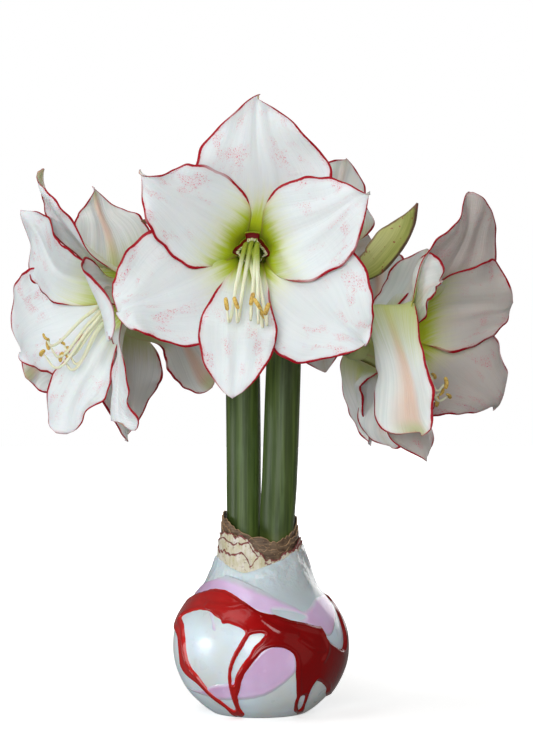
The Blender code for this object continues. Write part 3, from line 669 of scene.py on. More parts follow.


BLOOMS = (
    Bloom("front", "left", (-3.2, -58.0, 257.4), -3.0, 2.0, (
        Tepal(84, 89, 34, pins=(
            (1, 0, 258.5, 95.5), (0.88, 1, 241, 106), (0.72, 1, 213, 133), (0.55, 1, 197, 160),
            (0.88, -1, 276, 109), (0.72, -1, 303, 133), (0.55, -1, 328, 162), (0.42, -1, 331, 185),
        )),
        Tepal(320, 97, 34, (8, 34, 66, 92, 114), "blunt", pins=(
            (1, 0, 366, 344), (0.85, 1, 373, 322), (0.65, 1, 371, 288), (0.5, 1, 358, 256),
            (0.85, -1, 335, 357), (0.65, -1, 300, 364), (0.5, -1, 275, 352),
        )),
        Tepal(212, 89, 34, outline="blunt", pins=(
            (1, 0, 118, 313), (0.85, -1, 112, 290), (0.65, -1, 121, 261), (0.5, -1, 143, 234),
            (0.87, 1, 132, 330), (0.68, 1, 159, 340), (0.52, 1, 197, 346),
        )),
    ), (
        Tepal(12, 91, 29, CUPPED, "inner", swing=0.08, pins=(
            (1, 0, 370, 193), (0.86, 1, 347, 183), (0.66, 1, 317, 177), (0.48, 1, 288, 182),
            (0.33, 1, 268, 199), (0.86, -1, 364, 221), (0.7, -1, 355, 251), (0.5, -1, 325, 274),
            (0.34, -1, 291, 281), (0.25, -1, 274, 275),
        )),
        Tepal(152, 84, 28, CUPPED, "inner", swing=-0.07, pins=(
            (1, 0, 139, 171), (0.88, -1, 163, 175), (0.68, -1, 190, 163.5), (0.5, -1, 222, 173),
            (0.33, -1, 249, 201), (0.86, 1, 142, 203), (0.68, 1, 152, 232), (0.5, 1, 175, 259),
            (0.34, 1, 203, 268),
        )),
        Tepal(265, 105, 21, (7, 30, 62, 84, 100), "lip", inked=0.75, pins=(
            (1, 0, 233, 398), (0.88, 1, 259, 376), (0.72, 1, 274, 350), (0.54, 1, 276, 322),
            (0.38, 1, 270, 298), (0.96, 1, 244, 391), (0.96, -1, 222, 391), (0.88, -1, 211, 376),
            (0.72, -1, 200, 348), (0.54, -1, 201, 316), (0.4, -1, 214, 293),
        )),
    )),
    Bloom("left", "left", (-60.0, 18.0, 237.0), -62.0, -8.0, (
        Tepal(90, 97, 30, (8, 30, 56, 76, 100), twist=18, pins=(
            (1, 0, 40, 170), (0.86, 1, 41, 188), (0.7, 1, 44, 207), (0.5, 1, 52, 232), (0.88, -1, 46, 190),
            (0.72, -1, 60, 207), (0.55, -1, 77, 230), (0.4, -1, 93, 257),
        )),
        Tepal(206, 104, 35.5, outline="blunt", pins=(
            (1, 0, 21, 353), (0.85, -1, 12.5, 305), (0.68, -1, 18, 279), (0.52, -1, 30, 268),
            (0.88, 1, 33, 367), (0.7, 1, 52, 375),
        )),
        Tepal(317, 102, 30, outline="blunt", pins=(
            (1, 0, 126, 427), (0.88, -1, 111, 418), (0.7, -1, 112, 388), (0.5, -1, 115, 350),
            (0.88, 1, 137, 416), (0.7, 1, 128, 395), (0.5, 1, 122, 356),
        )),
    ), (
        Tepal(18, 76, 24, (7, 29, 50, 68, 110), "inner", pins=(
            (1, 0, 113, 334), (0.46, 1, 98, 268), (0.6, 1, 86, 256), (0.8, 1, 82, 271), (0.92, 1, 97, 281),
            (0.5, -1, 96, 300), (0.8, -1, 107, 322),
        )),
        Tepal(136, 94, 30, CUPPED, "inner", pins=(
            (1, 0, 22, 210), (0.87, -1, 44, 215), (0.68, -1, 52, 231), (0.5, -1, 66, 247),
            (0.36, -1, 81, 260), (0.87, 1, 29, 240), (0.72, 1, 29, 268), (0.55, 1, 38, 289),
            (0.4, 1, 56, 302), (0.3, 1, 72, 307),
        )),
        Tepal(262, 100, 25, (7, 26, 48, 66, 84), "lip", pins=(
            (1, 0, 61, 434), (0.86, -1, 47, 405), (0.7, -1, 50, 381), (0.5, -1, 68, 352), (0.36, -1, 90, 328),
            (0.86, 1, 84, 415), (0.7, 1, 99, 403), (0.5, 1, 111, 381), (0.34, 1, 115, 350),
        )),
    )),
    Bloom("right", "right", (66.0, 7.0, 216.0), 70.0, -9.0, (
        Tepal(93, 100, 33, outline="low", twist=-22, pins=(
            (1, 0, 471, 192), (0.86, 1, 462, 213), (0.7, 1, 448, 232), (0.52, 1, 428, 252),
            (0.88, -1, 489, 205), (0.7, -1, 496, 226), (0.52, -1, 497, 258),
        )),
        Tepal(222, 98, 34, (8, 28, 50, 60, 68), "blunt", twist=-50, blush=3.0, pins=(
            (1, 0, 421, 434), (0.88, -1, 433, 418), (0.75, -1, 435, 393), (0.6, -1, 428, 366),
            (0.46, -1, 419, 341), (0.34, -1, 418, 313), (0.24, -1, 408, 296), (0.9, 1, 381, 429),
            (0.78, 1, 376, 408), (0.62, 1, 378, 376), (0.46, 1, 377, 350), (0.34, 1, 373, 324),
            (0.24, 1, 371, 304),
        )),
        Tepal(337, 97, 33, (8, 42, 80, 100, 112), "blunt", pins=(
            (1, 0, 493, 408), (0.85, 1, 504, 386), (0.66, 1, 501, 355), (0.52, 1, 495, 336),
            (0.93, 1, 500, 399), (0.93, -1, 483, 411), (0.85, -1, 468, 413), (0.7, -1, 440, 416),
        )),
    ), (
        Tepal(33, 98, 30, (7, 22, 42, 60, 78), "inner", pins=(
            (1, 0, 513, 303), (0.86, 1, 503, 272), (0.66, 1, 488, 261), (0.47, 1, 461, 272),
            (0.34, 1, 441, 281), (0.86, -1, 508, 321), (0.7, -1, 494, 336), (0.5, -1, 463, 351),
            (0.36, -1, 436, 348),
        )),
        Tepal(149, 89, 22, CUPPED, "inner", pins=(
            (1, 0, 441, 281), (0.88, -1, 444, 266), (0.74, -1, 433, 253), (0.58, -1, 420, 259),
            (0.42, -1, 415, 278), (0.28, -1, 411, 300), (0.84, 1, 436, 287), (0.66, 1, 432, 298),
            (0.48, 1, 427, 310), (0.32, 1, 419, 323),
        )),
        Tepal(248, 90, 20, CUPPED, "lip", pins=(
            (1, 0, 427, 460), (0.82, 1, 434, 437), (0.86, -1, 409, 451), (0.65, -1, 388, 434),
        )),
    ), 1.0),
    Bloom("back_left", "left", (-80.0, 56.0, 223.5), 188.0, 3.0, (
        Tepal(79, 92, 30, pins=(
            (1, 0, 93, 187), (0.9, 1, 105, 198), (0.72, 1, 128, 211), (0.52, 1, 146, 224), (0.9, -1, 87, 202),
            (0.72, -1, 77, 217), (0.52, -1, 74, 240),
        )),
        Tepal(-34, 88, 30, pins=((1, 0, 26, 378), (0.88, -1, 36, 387), (0.72, -1, 48, 393))),
        Tepal(-148, 92, 30, pins=(
            (1, 0, 213, 386), (0.86, 1, 194, 393), (0.7, 1, 177, 381), (0.52, 1, 165, 362),
            (0.36, 1, 160, 345),
        )),
    ), (
        Tepal(138, 84, 26, (7, 24, 40, 50, 60), "inner"),
        Tepal(20, 86, 26, CUPPED, "inner", pins=((1, 0, 44, 296), (0.7, 1, 48, 275), (0.7, -1, 50, 315))),
        Tepal(-92, 98, 24, CUPPED, "inner", pins=(
            (1, 0, 126, 441), (0.86, -1, 140, 419), (0.68, -1, 155, 391), (0.5, -1, 163, 372),
            (0.8, 1, 116, 424),
        )),
    )),
    Bloom("back_right", "right", (52.5, 40.0, 206.5), 132.0, 0.0, (
        Tepal(61, 84, 28, (8, 30, 54, 70, 80)),
        Tepal(180, 74, 26, (8, 26, 40, 48, 52)),
        Tepal(300, 89, 30, pins=(
            (1, 0, 370, 445), (0.9, 1, 363, 437), (0.75, 1, 355, 423), (0.6, 1, 348, 403),
            (0.45, 1, 342, 380), (0.33, 1, 342, 358), (0.88, -1, 368, 434), (0.7, -1, 363, 410),
            (0.52, -1, 362, 385),
        )),
    ), (
        Tepal(0, 70, 24, (7, 24, 40, 50, 56), "inner"),
        Tepal(110, 76, 22, CUPPED, "inner"),
        Tepal(252, 92, 24, CUPPED, "inner", pins=(
            (1, 0, 390, 446), (0.82, 1, 366, 433), (0.82, -1, 408, 436), (0.6, 1, 360, 405),
            (0.6, -1, 412, 400), (0.4, 1, 360, 375),
        )),
    )),
    Bloom("back", "right", (30.5, 52.0, 255.5), 190.0, 6.0, (
        Tepal(112, 78, 27, blush=0.2, pins=(
            (1, 0, 346, 159), (0.88, 1, 357, 172), (0.7, 1, 366, 193), (0.5, 1, 370, 215),
            (0.36, 1, 371, 232), (0.88, -1, 333, 160), (0.7, -1, 320, 170),
        )),
        Tepal(-13, 84, 28, (8, 30, 50, 62, 72)),
        Tepal(-145, 64, 22, (8, 24, 36, 40, 40)),
    ), (
        Tepal(170, 66, 22, (8, 26, 46, 60, 70), "inner"),
        Tepal(47, 80, 24, CUPPED, "inner"),
        Tepal(-106, 97, 22, CUPPED, "inner"),
    )),
)


def bloom_axes(bloom):
    """The bloom's own directions: right, up and forward, as unit vectors."""
    yaw, pitch = math.radians(bloom.yaw), math.radians(bloom.pitch)
    forward = np.array([math.sin(yaw) * math.cos(pitch), -math.cos(yaw) * math.cos(pitch), math.sin(pitch)])
    up = unit(UP - forward[2] * forward)
    return np.cross(up, forward), up, forward


def place_in_bloom(points, bloom):
    """Points in the bloom's frame to points in the part's frame."""
    return np.asarray(bloom.foot) + points @ np.array(bloom_axes(bloom))


def tepal_surface(along, across, tepal, tube_radius, phase):
    """Points of a tepal in its bloom's frame, and its half width at each of them."""
    fine = np.linspace(0.0, 1.0, MIDRIB_STEPS)
    angle = np.radians(through(OPENING_KNOTS, tepal.opening, fine))
    step = tepal.length / (len(fine) - 1)
    out = tube_radius + np.concatenate([[0.0], np.cumsum(np.sin(angle[1:]))]) * step
    ahead = np.concatenate([[0.0], np.cumsum(np.cos(angle[1:]))]) * step
    tilt = np.interp(along, fine, angle)
    seed = int(phase * 100)

    half = np.maximum(tepal.half_width * through(WIDTH_KNOTS, OUTLINES[tepal.outline], along), 0.4)
    rag = waves(along, np.sign(across) * 0.2, seed=seed + 5, count=5, rate=40.0)
    half = half * (1.0 + RAG * rag * eased(along, 0.2, 0.5))
    sideways = across * half
    curved = np.maximum(through(CURVATURE_KNOTS, CURVATURE, along), 1e-4)
    lateral = np.sin(curved * sideways) / curved
    inward = (1.0 - np.cos(curved * sideways)) / curved

    loose = eased(along, 0.28, 0.63) * np.minimum(2.0 * half / tepal.half_width, 1.0)
    other_edge = across < 0
    ruffle = np.sin(2 * math.pi * (RUFFLE_WAVES * along + phase + OTHER_EDGE_PHASE * other_edge))
    crinkle = waves(along * 30.0, 3.0 * other_edge, seed=seed + 11)
    pleats = waves(sideways * 0.32, along * 5.0, seed=seed + 17)
    inward = inward + loose * (
        RUFFLE * across**2 * ruffle
        + CRINKLE * np.abs(across)**5 * crinkle
        + PLEAT * (1.0 - across**4) * pleats
    )
    midrib = np.exp(-((sideways / MIDRIB_WIDTH) ** 2)) * eased(along, 0.0, 0.2) * eased(along, 1.0, 0.8)
    inward = inward - MIDRIB_DEPTH * midrib

    twist = math.radians(tepal.twist) * eased(along)
    lateral, inward = (lateral * np.cos(twist) - inward * np.sin(twist),
                       lateral * np.sin(twist) + inward * np.cos(twist))
    radius = np.interp(along, fine, out) - inward * np.cos(tilt)
    height = np.interp(along, fine, ahead) + inward * np.sin(tilt)
    lateral = lateral + tepal.swing * tepal.length * along**2
    turn = math.radians(tepal.turn)
    x = radius * math.cos(turn) - lateral * math.sin(turn)
    y = radius * math.sin(turn) + lateral * math.cos(turn)
    return rows(x, y, height), half


PIN_REACH = (0.28, 0.9)          # how far a pin's pull reaches, along and across
PIN_GIVE = 0.01
PIN_ROOTS = tuple((along, across, 0.0, 0.0) for along in (0.0, 0.16) for across in (-1.0, 0.0, 1.0))


def pull_to_pins(points, along, across, tepal, surface_at):
    """Moves a tepal across the camera's view so that its pinned points show where they should."""
    if not tepal.pins:
        return points
    pins = np.array(tepal.pins + PIN_ROOTS, float)
    now_right, now_down, size = seen_at(surface_at(pins[:, 0], pins[:, 1]))
    shift = across_view((pins[:, 2] - now_right) * size, (pins[:, 3] - now_down) * size)
    shift[-len(PIN_ROOTS):] = 0.0

    def on_blade(along, across):
        narrow = through(WIDTH_KNOTS, OUTLINES[tepal.outline], along)
        return rows(along, across * np.sqrt(narrow)) / PIN_REACH

    def pull(a, b):
        return np.exp(-((a[:, None, :] - b[None, :, :]) ** 2).sum(axis=2))

    spots = on_blade(pins[:, 0], pins[:, 1])
    strength = np.linalg.solve(pull(spots, spots) + PIN_GIVE * np.eye(len(spots)), shift)
    return points + pull(on_blade(along, across), spots) @ strength


def store_petal(piece, flat, span, rim=NO_RIM, collar=0.0, warm=0.0, inked=0.0):
    """What the two petal paints read: the flat pattern, the shares of the span, and four numbers."""
    store(piece, "flat", *flat)
    store(piece, "span", *span)
    for name, value in (("rim", rim), ("collar", collar), ("warm", warm), ("inked", inked)):
        store(piece, name, value)


def make_tepal(bloom, tepal, number):
    """One tepal: a bent and ruffled sheet, pulled to its place in the camera's view."""
    outer = number < len(bloom.outer)
    tube_radius = OUTER_TUBE_RADIUS if outer else INNER_TUBE_RADIUS
    sheet, along, across = start_sheet(f"tepal_{bloom.name}_{number}", *PETAL_CELLS)

    def surface_at(along, across):
        surface, half = tepal_surface(along, across, tepal, tube_radius, GOLDEN * number)
        return place_in_bloom(surface, bloom), half

    surface, half = surface_at(along, across)
    set_points(sheet, pull_to_pins(surface, along, across, tepal, lambda *at: surface_at(*at)[0]))
    unlike = 37.0 * number + 11.0 * len(bloom.name)
    store_petal(
        sheet, (across * half, along * tepal.length, unlike), (along, across, tepal.blush * outer),
        np.minimum((1.0 - np.abs(across)) * half, (1.0 - along) * tepal.length), warm=bloom.warm,
        inked=tepal.inked * eased(along, 0.28, 0.38) * (1.0 - 0.75 * eased(along, 0.88, 1.0)),
    )
    thicken(sheet, PETAL_THICK, PETAL_FACE, PETAL_BACK)
    return sheet


# The throat's collar: radii round it, where 90 is up, of the red band, of the pale fringe and of the hole
THROAT_TURNS = (-90, -55, -32, -17, 2, 30, 60, 67, 90, 113, 120, 150, 172, 188, 203, 235, 270)
THROAT_RED = (7.8, 7.5, 7.2, 10.1, 8.8, 7.4, 7.5, 9.7, 9.5, 9.7, 7.5, 7.6, 9.4, 10.6, 7.9, 7.5, 7.8)
THROAT_PALE_FROM = (7.7, 7.4, 7.0, 8.4, 6.9, 5.4, 5.9, 6.7, 6.5, 6.7, 5.9, 5.5, 7.2, 9.0, 7.7, 7.4, 7.7)
THROAT_HOLE = (7.5, 7.1, 6.2, 6.6, 5.3, 4.0, 4.3, 4.8, 4.8, 4.8, 4.3, 4.1, 5.6, 7.0, 6.6, 7.0, 7.5)
THROAT_LIP = 0.5
THROAT_SHARES = (0.0, 0.2, 0.7, 1.0)
THROAT_PAINTED = (17.5, 15.8, 10.8, 8.8)         # how far along the petal's paint each line stands
THROAT_WALL = (8.2, 9.0, 2.2)    # radius and height of a point on the tube's wall, and its steepness
THROAT_TOP = 11.8
THROAT_CELLS = (10, 120)         # inward and round
THROAT_TEETH = 30
TOOTH_DEPTH = 0.35
THROAT_THICK = 0.3


def make_throat(bloom):
    """The three-cornered collar inside the throat: lime, then a red band, then a pale fringe."""
    sheet, inward, around = start_sheet("throat_" + bloom.name, *THROAT_CELLS)
    turn = 90.0 - around * 180.0
    red, pale_from, hole = (
        through(THROAT_TURNS, radii, turn) for radii in (THROAT_RED, THROAT_PALE_FROM, THROAT_HOLE)
    )
    lines = rows(red + THROAT_LIP, red, pale_from, hole)
    radius = np.array([np.interp(share, THROAT_SHARES, row) for share, row in zip(inward, lines)])
    radius = radius - TOOTH_DEPTH * np.sin(np.radians(turn * THROAT_TEETH)) * (inward > 0.95)
    wall_radius, wall_height, steepness = THROAT_WALL
    rooted = wall_height + (red + THROAT_LIP - wall_radius) * steepness
    ahead = rooted + (THROAT_TOP - rooted) * eased(inward, 0.0, 0.8)
    set_points(sheet, place_in_bloom(round_axis(radius, np.radians(turn), ahead), bloom))
    painted = np.interp(inward, THROAT_SHARES, THROAT_PAINTED)
    store_petal(sheet, (turn * PATTERN_ROUND, painted, 0.0), (0.0, 0.0, 1.0), collar=1.0)
    sheet.modifiers.new("seam", "WELD").merge_threshold = SAME_SPOT * MM
    apply_modifiers(sheet)
    thicken(sheet, THROAT_THICK, PETAL_FACE, PETAL_BACK)
    return sheet


def make_foot(bloom):
    """The short tube that the tepals stand in. Its outside is painted like their backs."""
    foot = turned("foot_" + bloom.name, TUBE_FOOT, FOOT_SIDES)
    wear(foot, PETAL_FACE, PETAL_BACK)
    for face in foot.data.polygons:
        face.material_index = int(face.normal.xy.dot(face.center.xy) > 0 or face.normal.z < 0)
    points = points_of(foot)
    turn = np.degrees(np.arctan2(points[:, 1], points[:, 0]))
    store_petal(foot, (turn * PATTERN_ROUND, points[:, 2], 0.0), (0.0, 0.0, 1.0))
    set_points(foot, place_in_bloom(points, bloom))
    return foot


def make_bloom(bloom):
    """Six tepals grown together at a short tube, with the collar in its throat."""
    pieces = [make_foot(bloom)]
    pieces += [make_tepal(bloom, tepal, number) for number, tepal in enumerate(bloom.outer + bloom.inner)]
    pieces.append(make_throat(bloom))
    present(join("bloom_of_" + bloom.name, pieces), "petal", "bloom_" + bloom.name)


# Stamens

FILAMENTS = 6
FILAMENT_RADII = (1.4, 1.4, 1.05, 0.75, 0.5)
FILAMENT_START = (4.0, 2.6, 2.0, 1.0)            # forward, spread sideways and up, and above the axis
FILAMENT_IN_THROAT = (17.0, 3.2, 1.2, 2.2)
FILAMENT_REACH = (0.0, 18.0, 38.0, 53.0, 54.0)   # forward in the bloom's own frame, where none is seen
FILAMENT_DROP = (0.0, 5.0, 21.0, 39.0, 35.0)
FILAMENT_SPREAD = 12.0
FILAMENT_MESH = (10, 48)         # sides and rings
ANTHER_MESH = (16, 18)
ANTHER_LENGTH = 7.0
ANTHER_GIRTHS = ((-0.5, 0.4), (-0.38, 0.85), (0.0, 1.0), (0.38, 0.85), (0.5, 0.35))
# Where the camera sees each anther and the low point of its filament, and how far forward it reaches
ANTHERS_SEEN = {
    "front": (
        (226.5, 304, 229, 322, 60), (236, 303, 237.5, 322, 55), (252, 299, 250.5, 320, 57),
        (257.5, 304, 258.5, 323, 62), (267, 309, 267, 325, 60), (262, 313, 262.5, 327, 50),
    ),
    "left": (
        (46, 337, 51, 346, 66), (49, 344, 58, 357, 62), (43, 353, 56, 368, 66), (63, 342, 70, 356, 52),
        (68, 352, 76, 364, 48), (62, 357, 72, 370, 55),
    ),
    "right": (
        (433, 376, 431, 386, 42), (445, 383, 438, 391, 50), (441, 392, 434, 397, 47),
        (448, 396, 440, 401, 53), (436, 401, 431, 402, 44), (431, 393, 427, 399, 40),
    ),
}


def filament_route(bloom, number):
    """One filament: forward out of the throat, down under its weight, and up at its tip."""
    _, _, forward = bloom_axes(bloom)
    foot = np.asarray(bloom.foot)
    side = unit(np.cross(forward, UP))
    turn = math.radians(30 + 60 * number)

    def spot(ahead, sideways, upward, above):
        height = upward * math.sin(turn) + above
        return foot + forward * ahead + sideways * math.cos(turn) * side + height * UP

    start = spot(*FILAMENT_START)
    if bloom.name in ANTHERS_SEEN:
        right, down, low_right, low_down, reach = ANTHERS_SEEN[bloom.name][number]
        tip = point_behind(right, down, foot[1] + forward[1] * (reach + 2.0))
        low = point_behind(low_right, low_down, foot[1] + forward[1] * reach)
        throat = spot(*FILAMENT_IN_THROAT)
        half_way = throat + (low - throat) * 0.55 + 2.5 * UP
        return np.array([start, throat, half_way, low, tip]), side
    length = 1.0 + 0.07 * math.sin(2.4 * number)
    lean = math.cos(turn) * FILAMENT_SPREAD
    knots = np.linspace(0.0, 1.0, len(FILAMENT_REACH))
    route = [
        start + (forward * reach - drop * UP) * length + side * lean * knot**1.5
        for knot, reach, drop in zip(knots, FILAMENT_REACH, FILAMENT_DROP)
    ]
    return np.array(route), side


def anther_section(share, around):
    return 1.0 + 0.24 * np.cos(2 * around)


def make_stamens(bloom):
    """Six filaments, each with its anther across its tip."""
    pieces = []
    for number in range(FILAMENTS):
        route, side = filament_route(bloom, number)
        route_and_radii = np.column_stack([route, FILAMENT_RADII])
        filament = tube(f"filament_{bloom.name}_{number}", route_and_radii, *FILAMENT_MESH)
        lean = UP + side * (0.5 * math.sin(2.7 * number) + 0.15)
        if bloom.name != "front":
            lean = lean * (1.0, 1.0, 0.6) + side * math.cos(1.9 * number)
        lean = unit(lean)
        bow = unit(np.cross(lean, side))
        spindle = [
            (*(route[-1] + lean * ANTHER_LENGTH * share + bow * (0.9 - 3.6 * share**2)), girth)
            for share, girth in ANTHER_GIRTHS
        ]
        anther = tube(f"anther_{bloom.name}_{number}", spindle, *ANTHER_MESH, anther_section)
        for piece in (filament, anther):
            wear(piece, FILAMENT, ANTHER)
        anther.data.polygons.foreach_set("material_index", np.ones(len(anther.data.polygons), np.int32))
        pieces += [filament, anther]
    present(join("stamens_of_" + bloom.name, pieces), "stamen", "stamens_" + bloom.name)


# Scapes: centre line and radius from the socket up, (x, y, z, radius)

SCAPES = {
    "left": (
        (-9.2, 3.6, 83.3, 9.5), (-9.2, 3.6, 105.0, 9.6), (-9.2, 4.2, 130.0, 9.9), (-9.6, 4.5, 180.0, 9.9),
        (-10.6, 4.0, 235.0, 9.4), (-11.0, 3.0, 252.0, 9.0), (-11.0, 3.0, 258.0, 6.0),
    ),
    "right": (
        (9.3, -3.4, 83.3, 9.8), (9.6, -3.7, 105.0, 9.9), (11.0, -4.6, 130.0, 10.1), (12.8, -4.6, 180.0, 10.0),
        (14.6, -2.6, 235.0, 9.4), (15.0, -1.0, 252.0, 9.0), (15.0, -1.0, 258.0, 6.0),
    ),
}
STEM_MESH = (64, 130)            # sides and rings
STEM_RIBS = 0.02                 # their depth, as a share of the radius
PEDICEL_MESH = (36, 60)
PEDICEL_RADIUS = 3.4
PEDICEL_ROOT_HEIGHT = 251.0
PEDICEL_ARCH = 3.0
OVARY_RADIUS = 6.0
OVARY_LENGTH = 16.0
OVARY_GAP = 0.9                  # from its top to the middle of the bloom's foot
MELT_CELL = 0.9                  # where the stem, pedicels and ovaries are made one skin


def ribbed(seed, depth):
    """A cross-section with soft ribs that wander a little along the stem."""
    def section(share, around):
        return 1.0 + depth * waves_round(around, 4.0, share * 1.5, seed=seed, count=8)

    return section


def ovary_section(share, around):
    return 1.0 + 0.07 * eased(share, 0.6, 0.8) * np.cos(3 * around)


def make_scape(side, route):
    """One stem with its three pedicels and ovaries, melted into one skin."""
    pieces = [tube("stem_" + side, route, *STEM_MESH, ribbed(len(side), STEM_RIBS))]
    root = np.array([*route[-1][:2], PEDICEL_ROOT_HEIGHT])
    for bloom in BLOOMS:
        if bloom.scape == side:
            _, _, forward = bloom_axes(bloom)
            top = np.asarray(bloom.foot) - forward * OVARY_GAP
            waist = top - forward * OVARY_LENGTH
            middle = (root + waist) / 2 + PEDICEL_ARCH * UP
            belly = top - forward * OVARY_LENGTH * 0.45
            points = [(*root, PEDICEL_RADIUS), (*middle, PEDICEL_RADIUS), (*waist, PEDICEL_RADIUS + 0.4),
                      (*belly, OVARY_RADIUS), (*top, OVARY_RADIUS)]
            pieces.append(tube("pedicel_" + bloom.name, points, *PEDICEL_MESH, ovary_section))
    whole = join("stem_of_" + side, pieces)
    melt = whole.modifiers.new("melt", "REMESH")
    melt.mode = "VOXEL"
    melt.voxel_size = MELT_CELL * MM
    soften = whole.modifiers.new("soften", "SMOOTH")
    soften.iterations = 4
    soften.factor = 0.5
    apply_modifiers(whole)
    whole.data.materials.clear()
    wear(whole, SCAPE)
    present(whole, "scape", "scape_" + side)


# Spathe bracts

BRACT_CELLS = (70, 36)           # along and across
BRACT_KNOTS = (0.0, 0.2, 0.45, 0.7, 0.88, 1.0)
BRACT_THICK = 0.8
SPINE_STEPS = 61
KEEL_ROUND = 1.2                 # softness of the fold
BELLY = 0.16                     # bulge of each half, as a share of its girth


class Bract(NamedTuple):
    side: str
    keel: tuple                  # from root to tip, where the blade folds
    girth: tuple                 # of each half, at the knots
    spread: tuple                # degrees between each half and the blade's middle plane
    roll: float                  # degrees that the folded blade lies over


BRACTS = (
    Bract(
        "right",
        ((14.0, -2.0, 259.2), (27.0, -2.5, 258.6), (42.0, -3.0, 249.0), (56.0, -4.0, 243.0),
         (67.0, -4.5, 247.0), (76.0, -5.0, 256.0), (83.5, -5.0, 267.0), (87.5, -5.0, 277.5),
         (88.6, -5.0, 286.5)),
        (6.0, 10.5, 18.0, 19.5, 12.0, 0.5), (80, 76, 42, 24, 18, 10), 0.0,
    ),
    Bract(
        "left",
        ((-13.5, 4.0, 259.4), (-32.0, 5.0, 264.5), (-50.0, 6.0, 270.5), (-67.0, 7.0, 277.5)),
        (6.0, 9.5, 12.0, 10.0, 6.0, 0.5), (80, 76, 60, 44, 34, 20), 20.0,
    ),
)


def make_bract(bract):
    """A boat-shaped blade, folded along its keel, with its two halves standing up from it."""
    sheet, along, across = start_sheet("bract_blade_" + bract.side, *BRACT_CELLS)
    spine = smooth_path(bract.keel, SPINE_STEPS)
    run = np.linspace(0.0, 1.0, len(spine))
    length = np.linalg.norm(np.diff(spine, axis=0), axis=1).sum()
    middle, heading = (
        rows(*(np.interp(along, run, column) for column in kept.T)) for kept in (spine, headings(spine))
    )
    level = unit(np.cross(heading, UP))
    up = np.cross(level, heading)
    roll = math.radians(bract.roll)
    level, up = level * math.cos(roll) + up * math.sin(roll), up * math.cos(roll) - level * math.sin(roll)
    half = through(BRACT_KNOTS, bract.girth, along)
    reach = across * half
    spread = np.radians(through(BRACT_KNOTS, bract.spread, along))
    soft = np.sqrt(reach**2 + KEEL_ROUND**2) - KEEL_ROUND
    bulge = BELLY * np.sin(math.pi * np.abs(across)) * half * np.cos(spread)
    lateral = np.sign(across) * (soft * np.sin(spread) + bulge)
    lift = soft * np.cos(spread)
    lift = lift + 0.4 * waves(reach * 0.4, along * 6.0, seed=len(bract.side)) * eased(along, 0.0, 0.3)
    set_points(sheet, middle - lateral[:, None] * level + lift[:, None] * up)
    store(sheet, "flat", reach, along * length, 5.0)
    store(sheet, "rim", np.minimum((1.0 - np.abs(across)) * half, (1.0 - along) * length))
    thicken(sheet, BRACT_THICK, BRACT)
    present(sheet, "bract", "spathe_" + bract.side)


# Wax coat: its outside from the flat base up to the neck, and how high its torn rim stands round it

WAX_HEIGHTS = (0.0, 4.0, 10.2, 21.5, 33.3, 45.0, 54.0, 63.3, 70.5, 77.5, 83.0)
WAX_RADII = (27.0, 33.0, 39.8, 46.3, 49.3, 48.9, 45.6, 39.3, 32.4, 27.4, 25.0)
WAX_TOP = WAX_HEIGHTS[-1]
WAX_WIDEST = max(WAX_RADII)
WAX_LIP = ((24.6, 83.9), (23.9, 84.3), (23.0, 84.2), (22.5, 83.6))
WAX_LIP_TOP = 84.3
WAX_RIM_KNOTS = (-180, -150, -128, -112, -98, -88, -74, -60, -40, 0, 60, 120, 180)
WAX_RIM_TOP = (88.0, 85.5, 82.0, 80.8, 81.5, 83.3, 85.0, 87.3, 91.0, 94.5, 91.0, 87.0, 88.0)
WAX_WALL = 2.5
WAX_FLOOR = (28.6, 3.0)          # radius and height of the hollow's floor
WAX_SIDES = 200
WAX_RINGS = (26, 110, 12)        # under it, up its wall and across the hollow's floor
WAX_INSIDE_FROM = 6.0            # the height at which the hollow's wall starts
EVENED = 6.0                     # the wall's curve is evened out over so much up and down
COAT_LUMPS = 0.45
NECK_LUMPS = 0.75
NECK_CRUMBS = 0.5
SIGHT_DEPTHS = np.linspace(-55.0, 45.0, 1001)    # where a sight line is tried against the coat
RED_THICK, RED_BANK = 1.25, 1.7  # how high the pour stands, and how wide its sloping edge is
PINK_THICK, PINK_BANK = 0.45, 1.8
POUR_LOWEST = 0.4                # above the table
POUR_CELL = 0.42
POUR_SKIN = 0.8
POUR_MARGIN = 1.5                # of the sheet round its outline
POUR_WAVER = 0.12                # of its edge
POUR_BEAD = 0.35                 # the thicker edge, as a share of the pour's thickness
POUR_SWELLS = 0.22
POUR_RIDGES = 0.55
RIDGE_WIDTH = 1.5
SUNK = 0.6                       # how far a pour's hidden edge dips into the coat
# Outlines of the poured wax as the camera sees them, in pixels right and down
RED_OUTLINE = (
    (203, 591), (214, 588), (226, 589.5), (236, 595), (249.5, 604), (260, 611), (276, 615), (291, 620),
    (303, 622), (315, 625), (320.5, 626), (323, 632), (327, 639), (334, 645), (341.5, 649), (343.6, 640),
    (341, 624), (336, 610), (331, 601), (326, 594), (330, 593), (337, 602), (343, 613), (348, 630),
    (350, 655), (347, 672), (341, 685), (333, 694), (328, 697.5), (325.5, 694), (326, 688), (318, 681),
    (314, 683.5), (308.5, 694), (305, 704), (302, 711.5), (297.5, 714), (294, 711), (294.5, 704),
    (296.5, 697), (296, 690), (295.5, 674), (294, 658.5), (289, 652), (279, 648), (266, 650), (257, 658.5),
    (248, 670.5), (243, 680), (240.5, 690), (238.5, 700), (240.5, 708), (244.5, 714), (242, 717),
    (238, 716.5), (235, 716.5), (226, 708.8), (212.5, 699), (199.5, 686), (187.5, 676), (182, 666.5),
    (180, 653), (178, 637.5), (175.5, 627), (175.5, 616), (178.4, 609.5), (189, 599), (198, 592.6),
)
